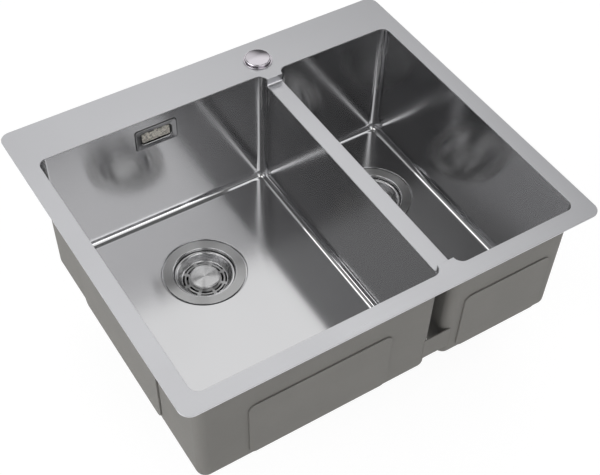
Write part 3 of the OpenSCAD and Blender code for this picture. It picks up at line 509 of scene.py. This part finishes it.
def bowl_shell(x0, x1, drain, divider_side, window):
    """A bowl's sheet with its rounded floor edge, its pressed seat and its cuts, and each face's material.

    divider_side is 1 where the divider is at the bowl's right and -1 where it is at its left."""
    middle = Vector((drain.x, drain.y))
    cuts = (overflow.x - WINDOW_W, overflow.x + WINDOW_W) if window else ()
    columns = bowl_columns(x0, x1, bowl_y0, bowl_y1, middle, cuts)
    count = len(columns)
    walls = [deck_under_z, bridge_lo.z, overflow.z + WINDOW_H, overflow.z - WINDOW_H, floor_z + FLOOR_R]
    turn = [k * pi / 2 / FILLET_STEPS for k in range(1, FILLET_STEPS + 1)]
    lip = [k * pi / 2 / LIP_STEPS for k in range(LIP_STEPS + 1)]
    outer_r = BOWL_R + SHEET

    def offset(distance, level):
        return [(*(base + away * distance), level) for base, away in columns]

    def round_drain(r, level):
        points = []
        for base, away in columns:
            way = (base + away * FLOOR_EDGE - middle).normalized()
            points.append((*(middle + way * r), level))
        return points

    rings = [offset(BOWL_R, z) for z in walls]
    rings += [offset(FLOOR_EDGE + FLOOR_R * cos(a), floor_z + FLOOR_R * (1 - sin(a))) for a in turn]
    rings += [round_drain(SEAT_R + SEAT_LIP_R * (1 - sin(a)), floor_z - SEAT_LIP_R * (1 - cos(a))) for a in lip]
    rings += [round_drain(SEAT_R, floor_z - SEAT_DEPTH), round_drain(DRAIN_HOLE_R, floor_z - SEAT_DEPTH)]
    first_outer = len(rings)
    rings += [round_drain(DRAIN_HOLE_R, floor_z - SEAT_DEPTH - SHEET),
              round_drain(SEAT_R + SHEET, floor_z - SEAT_DEPTH - SHEET), round_drain(SEAT_R + SHEET, floor_z - SHEET)]
    rings += [offset(FLOOR_EDGE + (FLOOR_R + SHEET) * cos(a), floor_z + FLOOR_R - (FLOOR_R + SHEET) * sin(a))
              for a in reversed(turn)]
    rings += [offset(outer_r, z) for z in reversed(walls)]
    last = len(rings) - 1
    points = [p for ring in rings for p in ring]

    def at(ring, column):
        return ring * count + column % count

    # Whether the strip between a column and the next one is cut away for the divider or for the overflow
    def notched(column):
        (base, away), (next_base, next_away) = columns[column], columns[(column + 1) % count]
        mid = (base + next_base) / 2 + (away + next_away) / 2 * BOWL_R
        beside = (mid.x - (x0 + x1) / 2) * divider_side > (x1 - x0) / 2 - BOWL_R
        return beside and bridge_lo.y < mid.y < bridge_hi.y

    def windowed(column):
        (base, away), (next_base, _) = columns[column], columns[(column + 1) % count]
        mid = (base + next_base) / 2
        return window and away.y > 0.99 and abs(mid.x - overflow.x) < WINDOW_W

    faces, painted = [], []
    for c in range(count):
        for ring in range(len(rings)):
            below = (ring + 1) % len(rings)
            if notched(c) and ring in (0, last - 1, last) or windowed(c) and ring in (2, last - 3):
                continue
            faces.append((at(ring, c), at(below, c), at(below, c + 1), at(ring, c + 1)))
            upright_bend = ring < len(walls) - 1 and columns[c][0] == columns[(c + 1) % count][0]
            floor_bend = len(walls) - 1 <= ring < len(walls) - 1 + FILLET_STEPS
            painted.append(1 if first_outer <= ring < last else 2 if upright_bend or floor_bend else 0)
        opened = []
        if notched(c):
            opened.append((1, last - 1))
        if windowed(c):
            opened += [(2, last - 2), (3, last - 3)]
        for inner, outer in opened:
            faces.append((at(inner, c), at(outer, c), at(outer, c + 1), at(inner, c + 1)))
            painted.append(0)
        for test, inner in ((notched, 0), (windowed, 2)):
            if test(c) != test((c + 1) % count):
                outer = last - inner
                faces.append((at(inner, c + 1), at(inner + 1, c + 1), at(outer - 1, c + 1), at(outer, c + 1)))
                painted.append(0)
    return (points, faces), painted


for name, node, x0, x1, drain, side, steel in (
        ("main_bowl_shell", "main_bowl", main_x0, main_x1, main_drain, 1, bowl_steel),
        ("half_bowl_shell", "half_bowl", half_x0, half_x1, half_drain, -1, shaded_half_steel)):
    shape, painted = bowl_shell(x0, x1, drain, side, node == "main_bowl")
    make(name, shape, [steel, undercoat, bend_steel], nodes=[node], painted=painted)


# Divider

FOOT_STEPS = 8


def folded_strip():
    """The divider's sheet: down from the flange, round a foot, along the tread and up again."""
    z_foot = tread_z + DIVIDER_FOOT_R
    path = [(tab_y0, deck_under_z, 0)]
    for k in range(FOOT_STEPS + 1):
        a = k * pi / 2 / FOOT_STEPS
        path.append((tab_y0 + DIVIDER_FOOT_R * (1 - cos(a)), z_foot - DIVIDER_FOOT_R * sin(a), a))
    path += [(tab_y0 + tab_y1 - y, z, pi - a) for y, z, a in reversed(path)]
    section = [(depth, -level) for depth, level in edge_section(0, -DIVIDER_T, DIVIDER_EDGE_R, UNDER_EDGE_R)]
    points, faces = [], []
    for y, z, a in path:
        for x, depth in [(main_x1 + d, t) for d, t in section] + [(half_x0 - d, t) for d, t in reversed(section)]:
            points.append((x, y - depth * cos(a), z - depth * sin(a)))
    count = 2 * len(section)
    for k in range(len(path) - 1):
        for i in range(count):
            j = (i + 1) % count
            faces.append((k * count + i, k * count + j, (k + 1) * count + j, (k + 1) * count + i))
    faces += [tuple(range(count)), tuple(range(len(points) - count, len(points)))]
    return points, faces


make("divider_strip", folded_strip(), [tread_steel], nodes=["divider_bridge"])


# Overflow

MOUTH_W, MOUTH_H, MOUTH_R = 45.4 * MM, 18.5 * MM, 5 * MM
MOUTH_LIP_R = 1.6 * MM
MOUTH_LIP_STEPS = 6
COLLAR_T = 1.2 * MM
BEZEL_R = 4 * MM
BEZEL_RIM = 2.2 * MM
BEZEL_EDGE = 0.2 * MM
BEZEL_FALL = 0.5 * MM
# Painted shade: a thin black rubber band round the bezel's edge stands in for the shadow line there
SHADOW_BAND_W = 0.9 * MM
SHADOW_BAND_T = 0.35 * MM


def centred(w, h, r, steps=8):
    """A rectangle round the origin with rounded corners."""
    return box_outline(-w / 2, w / 2, -h / 2, h / 2, r, steps)


def joined(*shapes):
    """Several closed shapes as one mesh."""
    points, faces = [], []
    for more_points, more_faces in shapes:
        start = len(points)
        points += more_points
        faces += [tuple(start + k for k in face) for face in more_faces]
    return points, faces


def overflow_plate():
    """The bezel: a flat rim, a face that falls towards the mouth, a round lip and the collar through the wall.

    The first two bands round it are painted shade: black rubber that stands in for the shadow line round the bezel's
    edge."""
    size = bezel_hi - bezel_lo
    face = bowl_y1 - bezel_lo.y
    end = bowl_y1 - bezel_hi.y
    rings = [(0, 0), (0, SHADOW_BAND_T), (SHADOW_BAND_W, SHADOW_BAND_T), (SHADOW_BAND_W, face - BEZEL_EDGE),
             (SHADOW_BAND_W + BEZEL_EDGE, face), (BEZEL_RIM, face)]
    fall = face - BEZEL_FALL
    reach = (size.x - MOUTH_W) / 2
    quarter = [k * pi / 2 / MOUTH_LIP_STEPS for k in range(MOUTH_LIP_STEPS + 1)]
    rings += [(reach - MOUTH_LIP_R * (1 - sin(a)), fall - MOUTH_LIP_R * (1 - cos(a))) for a in quarter]
    rings += [(reach, end), (reach - COLLAR_T, end), (reach - COLLAR_T, 0)]
    points, faces = [], []
    for depth, level in rings:
        share = depth / reach
        w, h = size.x - 2 * depth, size.z + (MOUTH_H - size.z) * share
        loop = centred(w, h, BEZEL_R + (MOUTH_R - BEZEL_R) * share)
        points += [(p.x, p.y, level) for p in loop]
        count = len(loop)
    painted = []
    for k in range(len(rings)):
        n = (k + 1) % len(rings)
        for i in range(count):
            j = (i + 1) % count
            faces.append((k * count + i, k * count + j, n * count + j, n * count + i))
            painted.append(int(k < 2))
    return stood_up((points, faces), overflow.x, bowl_y1, overflow.z), painted


# The bezel's second material is the black rubber band, painted shade for the shadow line round its edge
shape, painted = overflow_plate()
make("overflow_plate", shape, [bezel_steel_painted_shade, rubber], nodes=["overflow_bezel"], painted=painted)

# The insert stands back from the mouth's edge on all sides and is rippled like cast resin
INSERT_GAP = 2.2 * MM
INSERT_SLIT = 2.2 * MM
INSERT_BACK_T = 0.5 * MM
INSERT_EDGE_W, INSERT_EDGE_FALL = 0.8 * MM, 0.5 * MM
INSERT_COLUMNS, INSERT_ROWS = 64, 20
TAB_W, TAB_H, TAB_DX = 5 * MM, 4 * MM, 13.4 * MM
TAB_R, TAB_EDGE_R = 0.5 * MM, 0.3 * MM
FINE_EDGE_R = 0.1 * MM
RIPPLE = 0.3 * MM


def insert_plate():
    """The pale plate behind the mouth: a rippled face, a deeper rim and three tabs along the top."""
    lo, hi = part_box("overflow_insert")
    columns, rows = INSERT_COLUMNS, INSERT_ROWS
    w, h = MOUTH_W - 2 * INSERT_GAP, MOUTH_H - INSERT_GAP - INSERT_SLIT
    bottom = INSERT_GAP - MOUTH_H / 2
    front = hi.y - lo.y
    points, faces = [], []
    for row in range(rows + 1):
        for column in range(columns + 1):
            u, v = column / columns, row / rows
            edge = min(u * w, (1 - u) * w, v * h, (1 - v) * h) / INSERT_EDGE_W
            fall = INSERT_EDGE_FALL * max(0.0, 1 - edge) ** 2
            wave = sin(u * 31 + 1.7 * sin(v * 5)) * 0.5 + sin(u * 13 - v * 9 + 1) * 0.3 + sin(v * 17 + u * 5) * 0.35
            points.append(((u - 0.5) * w, bottom + v * h, front - RIPPLE - fall + RIPPLE * wave * min(1.0, edge)))
    for row in range(rows):
        for column in range(columns):
            k = row * (columns + 1) + column
            faces.append((k, k + 1, k + columns + 2, k + columns + 1))
    rim = [row * (columns + 1) for row in range(rows, 0, -1)] + list(range(columns))
    rim += [row * (columns + 1) + columns for row in range(rows)]
    rim += [rows * (columns + 1) + column for column in range(columns, 0, -1)]
    start = len(points)
    points += [(points[k][0], points[k][1], INSERT_BACK_T) for k in rim]
    for i in range(len(rim)):
        j = (i + 1) % len(rim)
        faces.append((rim[i], start + i, start + j, rim[j]))
    faces.append(tuple(range(start, start + len(rim))))
    shapes = [(points, faces)]
    painted = [0] * len(faces)
    shapes.append(plate([centred(MOUTH_W, MOUTH_H - 2 * INSERT_SLIT, MOUTH_R - INSERT_SLIT)],
                        edge_section(INSERT_BACK_T, 0, FINE_EDGE_R, FINE_EDGE_R)))
    painted += [1] * len(shapes[-1][1])
    for side in (-1, 0, 1):
        x = side * TAB_DX
        tab = box_outline(x - TAB_W / 2, x + TAB_W / 2, MOUTH_H / 2 - TAB_H, MOUTH_H / 2, TAB_R)
        shapes.append(plate([tab], edge_section(front - INSERT_BACK_T, 0, TAB_EDGE_R, FINE_EDGE_R)))
        painted += [0] * len(shapes[-1][1])
    return stood_up(joined(*shapes), overflow.x, hi.y, overflow.z), painted


shape, painted = insert_plate()
make("overflow_resin", shape, [resin, plastic], nodes=["overflow_insert"], painted=painted, sharp=50)


# Strainers

# Heights are measured from the bowl's floor
CUP_R = 42.6 * MM
CUP_T = 1.2 * MM
CUP_BEND_R = 1.9 * MM
LEDGE_Z = -8.8 * MM
THROAT_R = 38.6 * MM
CUP_Z = -34 * MM
RING_EDGE_R = 0.4 * MM
# Holes in the cup's floor: distance from the middle, angle in degrees, radius
CUP_HOLES = [(19 * MM, 30 + 60 * k, 6 * MM) for k in range(6)]
CUP_HOLES += [(30 * MM, 60 + 120 * k, 5 * MM) for k in range(3)]
CUP_HOLES += [(30 * MM, 120 * k, 2.7 * MM) for k in range(3)]
CUP_HOLES += [(0, 0, 7.3 * MM)]


def strainer_cup(centre):
    """Flat ring, bend, cup with the ledge for the basket, and the floor with its holes.

    All but the flat ring is painted as the cup."""
    out_r = strainer_r
    section = turned([
        (out_r, 0, RING_EDGE_R), (CUP_R, 0, CUP_BEND_R), (CUP_R, LEDGE_Z, 0.5 * MM), (THROAT_R, LEDGE_Z, 0.6 * MM),
        (THROAT_R, CUP_Z, 0), (THROAT_R, CUP_Z - CUP_T, 0), (THROAT_R + CUP_T, CUP_Z - CUP_T, 0.6 * MM),
        (THROAT_R + CUP_T, LEDGE_Z - CUP_T, 0), (CUP_R + CUP_T, LEDGE_Z - CUP_T, 0.6 * MM),
        (CUP_R + CUP_T, -CUP_T, 0.7 * MM), (out_r, -CUP_T, 0.2 * MM)])
    loops = [circle_outline(0, 0, THROAT_R, 128)]
    for r, degrees, hole_r in CUP_HOLES:
        a = radians(degrees)
        loops.append(circle_outline(r * cos(a), r * sin(a), hole_r, 32)[::-1])
    points, faces = plate(loops, edge_section(CUP_Z, CUP_Z - CUP_T, UNDER_EDGE_R, FINE_EDGE_R))
    floor = [(x + centre.x, y + centre.y, z + floor_z) for x, y, z in points], faces
    ring = lathe(section, Vector((centre.x, centre.y, floor_z)))
    painted = [int(max(abs(ring[0][k][2] - floor_z) for k in face) > SAME) for face in ring[1]] + [1] * len(faces)
    return joined(ring, floor), painted


SLOTS = 8
SLOT_STEPS = 14
SLOT_COLUMNS = SLOT_STEPS + 2
SLOT_BRIDGE = radians(9.65)
SLOT_RADII = [(23 * MM, 26 * MM), (28.2 * MM, 31.2 * MM)]
LIP_R = 41.5 * MM
LIP_IN_R = 38.2 * MM
LIP_Z = -5 * MM
DISH_R = 32.3 * MM
DISH_Z = -15.6 * MM
DISH_T = 1.0 * MM
POST_R = 4.6 * MM
# How far the sloping wall's underside lies outside its top, and the bends of the top
WALL_SIDE = 0.7 * MM
DISH_BEND_R, LIP_BEND_R = 2.2 * MM, 3.2 * MM


def basket_dish(centre):
    """Lip, wall and floor of a basket with two rings of slots cut through the floor.

    All above the floor is painted as the cup."""
    angles = []
    for k in range(SLOTS):
        start, end = 2 * pi * k / SLOTS + SLOT_BRIDGE / 2, 2 * pi * (k + 1) / SLOTS - SLOT_BRIDGE / 2
        angles += [start + (end - start) * i / SLOT_STEPS for i in range(SLOT_STEPS + 1)] + [end + SLOT_BRIDGE / 2]
    inner = [r for pair in SLOT_RADII for r in pair]
    section = turned([(POST_R, DISH_Z, 0)] + [(r, DISH_Z, 0) for r in inner] + [
        (DISH_R, DISH_Z, DISH_BEND_R), (LIP_IN_R, LIP_Z, LIP_BEND_R), (LIP_R, LIP_Z, 0.35 * MM),
        (LIP_R, LIP_Z - DISH_T, 0.3 * MM), (LIP_IN_R + WALL_SIDE, LIP_Z - DISH_T, 0.3 * MM),
        (DISH_R + WALL_SIDE, DISH_Z - DISH_T, 1.0 * MM)] + [
        (r, DISH_Z - DISH_T, 0) for r in reversed(inner)] + [(POST_R, DISH_Z - DISH_T, 0)])
    points, faces = lathe(section, Vector((centre.x, centre.y, floor_z)), angles=angles)
    columns = len(angles)
    # The rings of points at each edge of the slots, above and below
    level = {}
    for k, (r, _) in enumerate(section):
        for slot_r in inner:
            if abs(r - slot_r) < SAME:
                level.setdefault(slot_r, []).append(k)
    kept, walls = [], []
    for face in faces:
        in_slot = face[0] % columns % SLOT_COLUMNS < SLOT_STEPS
        band = {face[0] // columns, face[2] // columns}
        cut = any(band in ({level[a][0], level[b][0]}, {level[a][1], level[b][1]}) for a, b in SLOT_RADII)
        if not (in_slot and cut):
            kept.append(face)
    for low_r, high_r in SLOT_RADII:
        (low_top, low_under), (high_top, high_under) = level[low_r], level[high_r]
        for column in range(columns):
            after = (column + 1) % columns
            if column % SLOT_COLUMNS < SLOT_STEPS:
                for upper, under in ((low_top, low_under), (high_top, high_under)):
                    walls.append((upper * columns + column, upper * columns + after,
                                  under * columns + after, under * columns + column))
            if column % SLOT_COLUMNS in (0, SLOT_STEPS):
                walls.append((low_top * columns + column, high_top * columns + column,
                              high_under * columns + column, low_under * columns + column))
    painted = [int(max(points[k][2] for k in face) > floor_z + DISH_Z + SAME) for face in kept + walls]
    return (points, kept + walls), painted


CAP_T = 1.2 * MM
CROWN_STEPS = 6


def crown(r, high, fall, steps):
    """Section of a shallow dome from its middle out to r."""
    return [(r * k / steps, high - fall * (k / steps) ** 2) for k in range(steps + 1)]


def basket_cap(centre, node):
    """The cap in the middle, slightly domed, with a rounded edge."""
    lo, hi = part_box(node)
    r = (hi.x - lo.x) / 2
    in_r = r - CAP_T
    high, low = hi.z - floor_z, lo.z - floor_z
    section = crown(r * 0.78, high, 0.35 * MM, CROWN_STEPS) + turned([
        (r * 0.85, high - 0.42 * MM, 0), (r, high - 0.6 * MM, 2 * MM), (r, low, FINE_EDGE_R),
        (in_r, low, FINE_EDGE_R), (in_r, high - CAP_T - 0.8 * MM, 0.8 * MM), (0, high - CAP_T - 0.6 * MM, 0)])
    return lathe(section, Vector((centre.x, centre.y, floor_z)))


for bowl, centre in (("main", main_drain), ("half", half_drain)):
    shape, painted = strainer_cup(centre)
    make(bowl + "_strainer_ring", shape, [ring_steel[bowl], cup_steel[bowl]],
         nodes=[bowl + "_strainer_flange"], painted=painted)
    shape, painted = basket_dish(centre)
    make(bowl + "_basket_dish", shape, [ring_steel[bowl], cup_steel[bowl]], bowl + "_basket",
         [bowl + "_basket"], painted)
    make(bowl + "_basket_top", basket_cap(centre, bowl + "_basket_cap"), [cap_steel[bowl]],
         bowl + "_basket", [bowl + "_basket_cap"])


# Button

BUTTON_STEPS = 8
BUTTON_DOME_H = 0.7 * MM
BUTTON_ROUND_W, BUTTON_ROUND_R = 1.9 * MM, 1.6 * MM
BUTTON_CAP_T, BUTTON_TOP_T = 1.2 * MM, 1.8 * MM
BUTTON_INNER_R = 2.2 * MM
BUTTON_CLEARANCE = 0.08 * MM
BUTTON_RING_T = 0.9 * MM
BARREL_T, BARREL_FLOOR_T = 1 * MM, 2.5 * MM
STEM_HOLE_R = 5.08 * MM
COIL_TURNS = 5
COIL_WIRE_R = 0.8 * MM
COIL_STEPS, COIL_SIDES = 24, 8


def button_pieces():
    """The domed cap that moves, and the ring with the barrel that it sinks into."""
    cap_lo, cap_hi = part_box("button_cap")
    ring_lo, ring_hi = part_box("button_bezel")
    centre = (cap_lo + cap_hi) / 2
    centre.z = 0
    r = (cap_hi.x - cap_lo.x) / 2
    in_r, flat, rim_z = r - BUTTON_CAP_T, r - BUTTON_ROUND_W, cap_hi.z - BUTTON_DOME_H
    cap = crown(flat, cap_hi.z, BUTTON_DOME_H, BUTTON_STEPS) + turned([
        (flat, rim_z - 0.05 * MM, 0), (r, rim_z - 0.35 * MM, BUTTON_ROUND_R),
        (r, cap_lo.z, 0.2 * MM), (in_r, cap_lo.z, 0.2 * MM),
        (in_r, rim_z - BUTTON_TOP_T, BUTTON_INNER_R), (0, rim_z - BUTTON_TOP_T, 0)], BUTTON_STEPS)
    make("button_dome", lathe(cap, centre), [chrome], "button", ["button_cap"])
    out_r, bore_r = (ring_hi.x - ring_lo.x) / 2, r + BUTTON_CLEARANCE
    barrel_r = bore_r + BARREL_T
    under_z, floor_top = ring_hi.z - BUTTON_RING_T, ring_lo.z + BARREL_FLOOR_T
    ring = turned([
        (out_r, ring_hi.z, 0.6 * MM), (bore_r, ring_hi.z, 0.35 * MM), (bore_r, floor_top, 0),
        (STEM_HOLE_R, floor_top, 0), (STEM_HOLE_R, ring_lo.z, 0), (barrel_r, ring_lo.z, 0.3 * MM),
        (barrel_r, under_z, 0), (out_r, under_z, FINE_EDGE_R)], BUTTON_STEPS)
    make("button_ring", lathe(ring, centre), [chrome], nodes=["button_bezel"])


def coil(low, high):
    """One unbroken wire that winds up between two corners of a box, with closed ends."""
    middle, r = (low + high) / 2, (high.x - low.x) / 2 - COIL_WIRE_R
    rise = high.z - low.z - 2 * COIL_WIRE_R
    last = COIL_TURNS * COIL_STEPS
    points, faces = [], []
    for k in range(last + 1):
        a = 2 * pi * k / COIL_STEPS
        z = low.z + COIL_WIRE_R + rise * k / last
        for i in range(COIL_SIDES):
            b = 2 * pi * i / COIL_SIDES
            reach = r + COIL_WIRE_R * cos(b)
            points.append((middle.x + reach * cos(a), middle.y + reach * sin(a), z + COIL_WIRE_R * sin(b)))
    for k in range(last):
        here, above = k * COIL_SIDES, (k + 1) * COIL_SIDES
        for i in range(COIL_SIDES):
            j = (i + 1) % COIL_SIDES
            faces.append((here + i, here + j, above + j, above + i))
    faces.append(tuple(range(COIL_SIDES)))
    faces.append(tuple(range(last * COIL_SIDES, (last + 1) * COIL_SIDES)))
    return points, faces


button_pieces()

# The spring stands in the barrel and shortens by the button's travel
spring_lo, spring_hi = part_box("button_spring")
spring = make("button_coil", coil(spring_lo, spring_hi), [bright_steel], nodes=["button_spring"])
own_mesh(spring)


# Sound pads

def pad_shape(w, h, t):
    """A sound pad drawn flat, with its back on level 0."""
    return plate([centred(w, h, PAD_CORNER_R, 12)], edge_section(t, 0, PAD_EDGE_R, PAD_BACK_R))


for node in ("main_front_pad", "half_front_pad", "main_left_pad", "half_right_pad"):
    lo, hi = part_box(node)
    size, middle = hi - lo, (lo + hi) / 2
    if node.endswith("front_pad"):
        shape = stood_up(pad_shape(size.x, size.z, size.y), middle.x, hi.y, middle.z)
    else:
        side, x = (1, lo.x) if middle.x > 0 else (-1, hi.x)
        shape = stood_sideways(pad_shape(size.y, size.z, size.x), x, middle.y, middle.z, side)
    make(node + "_sheet", shape, [pad_coat], nodes=[node])


# Every node gets the finish of its slot, which shows on the ones that keep the frame's own shape
FINISH = {"undercoat": undercoat, "sound_pad": pad_coat, "rubber": rubber, "black_plastic": plastic,
          "polished_steel": bright_steel, "strainer_steel": cup_steel["main"], "chrome": chrome, "brass": brass,
          "brushed_steel": deck_steel, "bowl_steel": bowl_steel, "pale_plastic": resin}
for part in frame["record"]["subparts"]:
    mesh = frame["nodes"][part["node"]].data
    mesh.materials.clear()
    mesh.materials.append(FINISH[part["material_slot"]])


# Stage, light and camera

FLOOR_HALF = 6.0
FLOOR_GLOW = 0.92
FLOOR_LIT = (0.15, 0.15, 0.15, 1)
FLOOR_COLOUR = (0.85, 0.85, 0.85, 1)

floor_mesh = bpy.data.meshes.new("floor")
floor_mesh.from_pydata([(x * FLOOR_HALF, y * FLOOR_HALF, cad_box[0].z)
                        for x, y in ((-1, -1), (1, -1), (1, 1), (-1, 1))], [], [(0, 1, 2, 3)])
floor = bpy.data.objects.new("floor", floor_mesh)
bpy.context.scene.collection.objects.link(floor)

floor_graph = Graph("floor")
constant(floor_graph, Base_Color=FLOOR_COLOUR, Roughness=0.9)
# Seen directly or in metal the floor glows white, and the part of it that is lit keeps the object's shadow
rays = floor_graph.add("LightPath")
seen = floor_graph.math("ADD", rays.outputs["Is Camera Ray"], rays.outputs["Is Glossy Ray"])
seen = floor_graph.math("ADD", seen, rays.outputs["Is Transmission Ray"])
lit = floor_graph.add("BsdfDiffuse")
lit.inputs["Color"].default_value = FLOOR_LIT
glow = floor_graph.add("Emission")
glow.inputs["Strength"].default_value = FLOOR_GLOW
white = floor_graph.add("AddShader")
floor_graph.link(lit.outputs[0], white.inputs[0])
floor_graph.link(glow.outputs[0], white.inputs[1])
either = floor_graph.add("MixShader")
floor_graph.link(seen, either.inputs[0])
floor_graph.link(floor_graph.shader.outputs[0], either.inputs[1])
floor_graph.link(white.outputs[0], either.inputs[2])
floor_graph.link(either.outputs[0], floor_graph.tree.nodes["Material Output"].inputs["Surface"])
floor_mesh.materials.append(floor_graph.material)


def direction(azimuth, elevation):
    """Unit vector toward a compass direction, with 0 at the back and 90 at the right."""
    a, e = radians(azimuth), radians(elevation)
    return Vector((sin(a) * cos(e), cos(a) * cos(e), sin(e)))


# The studio is a tent that glows up to the first elevation and is dim from the second one up
GLOW, GLOW_TOP = 2.0, 4
DIM, DIM_START = 0.13, 22
# Its soft lamps: azimuth, elevation, inner and outer half angle in degrees, brightness
LAMPS = [
    (39, 54, 13, 24, 1.06),
    (17, 42, 5, 18, 0.88),
    (170, 47, 9, 20, 1.05),
    (146, 38.5, 2, 7, 0.6),
    (186, 43, 6, 21, 0.95),
    (160, 27, 4, 14, 2.2),
    (-36, 48, 5, 14, 0.30),
    (-82, 57, 4, 12, 1.6),
    (-112, 64, 5, 12, 1.8),
    (-2, 62, 4, 12, 2.0),
    (-57, 26, 3, 9, 2.5),
    (178, 67, 5, 12, 1.8),
    (-90, 5, 15, 38, 3.6),
]

# A shade in front of the first lamp: azimuth, elevation, inner and outer half angle, share of light left
SHADES = [
    (51.5, 43, 1.5, 6, 0.5),
]

world = bpy.data.worlds.new("studio")
bpy.context.scene.world = world
world.use_nodes = True
tree = world.node_tree
where = tree.nodes.new("ShaderNodeTexCoord")


def soft_step(value, start, end, low, high):
    """Value that goes softly from low at start to high at end."""
    step = tree.nodes.new("ShaderNodeMapRange")
    step.interpolation_type = "SMOOTHSTEP"
    for name, number in (("From Min", start), ("From Max", end), ("To Min", low), ("To Max", high)):
        step.inputs[name].default_value = number
    tree.links.new(value, step.inputs["Value"])
    return step.outputs["Result"]


def facing(way):
    """How much each direction faces a given one."""
    product = tree.nodes.new("ShaderNodeVectorMath")
    product.operation = "DOT_PRODUCT"
    product.inputs[1].default_value = way
    tree.links.new(where.outputs["Generated"], product.inputs[0])
    return product.outputs["Value"]


def with_spot(level, operation, spot, outside):
    """The light level joined with a soft round spot in the sky, whose value outside it is given."""
    azimuth, elevation, inner, outer, inside = spot
    joint = tree.nodes.new("ShaderNodeMath")
    joint.operation = operation
    tree.links.new(level, joint.inputs[0])
    tree.links.new(soft_step(facing(direction(azimuth, elevation)), cos(radians(outer)), cos(radians(inner)),
                             outside, inside), joint.inputs[1])
    return joint.outputs[0]


level = soft_step(facing((0, 0, 1)), sin(radians(GLOW_TOP)), sin(radians(DIM_START)), GLOW, DIM)
for lamp in LAMPS:
    level = with_spot(level, "MAXIMUM", lamp, 0)
for shade in SHADES:
    level = with_spot(level, "MULTIPLY", shade, 1)
tree.links.new(level, tree.nodes["Background"].inputs["Strength"])
tree.nodes["Background"].inputs["Color"].default_value = (1, 1, 1, 1)

# The camera stands at the front left and looks down on the sink
CAMERA_AZIMUTH = radians(-33.52)
CAMERA_ELEVATION = radians(52.76)
CAMERA_ROLL = radians(1.94)
CAMERA_DISTANCE = 1575.4 * MM
CAMERA_LENS = 63.909
CAMERA_SHIFT = 0.01, 0.14583
LOOKS_AT = Vector((4.38, -6.44, -305.35)) * MM

a, e = CAMERA_AZIMUTH, CAMERA_ELEVATION
back = Vector((sin(a) * cos(e), -cos(a) * cos(e), sin(e)))
level_right = Vector((cos(a), sin(a), 0))
level_up = back.cross(level_right)
right = level_right * cos(CAMERA_ROLL) + level_up * sin(CAMERA_ROLL)
up = level_up * cos(CAMERA_ROLL) - level_right * sin(CAMERA_ROLL)
camera_data = bpy.data.cameras.new("camera")
camera = bpy.data.objects.new("camera", camera_data)
bpy.context.scene.collection.objects.link(camera)
turn = Matrix((right, up, back)).transposed().to_4x4()
camera.matrix_world = Matrix.Translation(LOOKS_AT + back * CAMERA_DISTANCE) @ turn
camera_data.lens = CAMERA_LENS
camera_data.sensor_width = 36
camera_data.shift_x, camera_data.shift_y = CAMERA_SHIFT
bpy.context.scene.camera = camera
bpy.context.scene.view_settings.view_transform = "Standard"
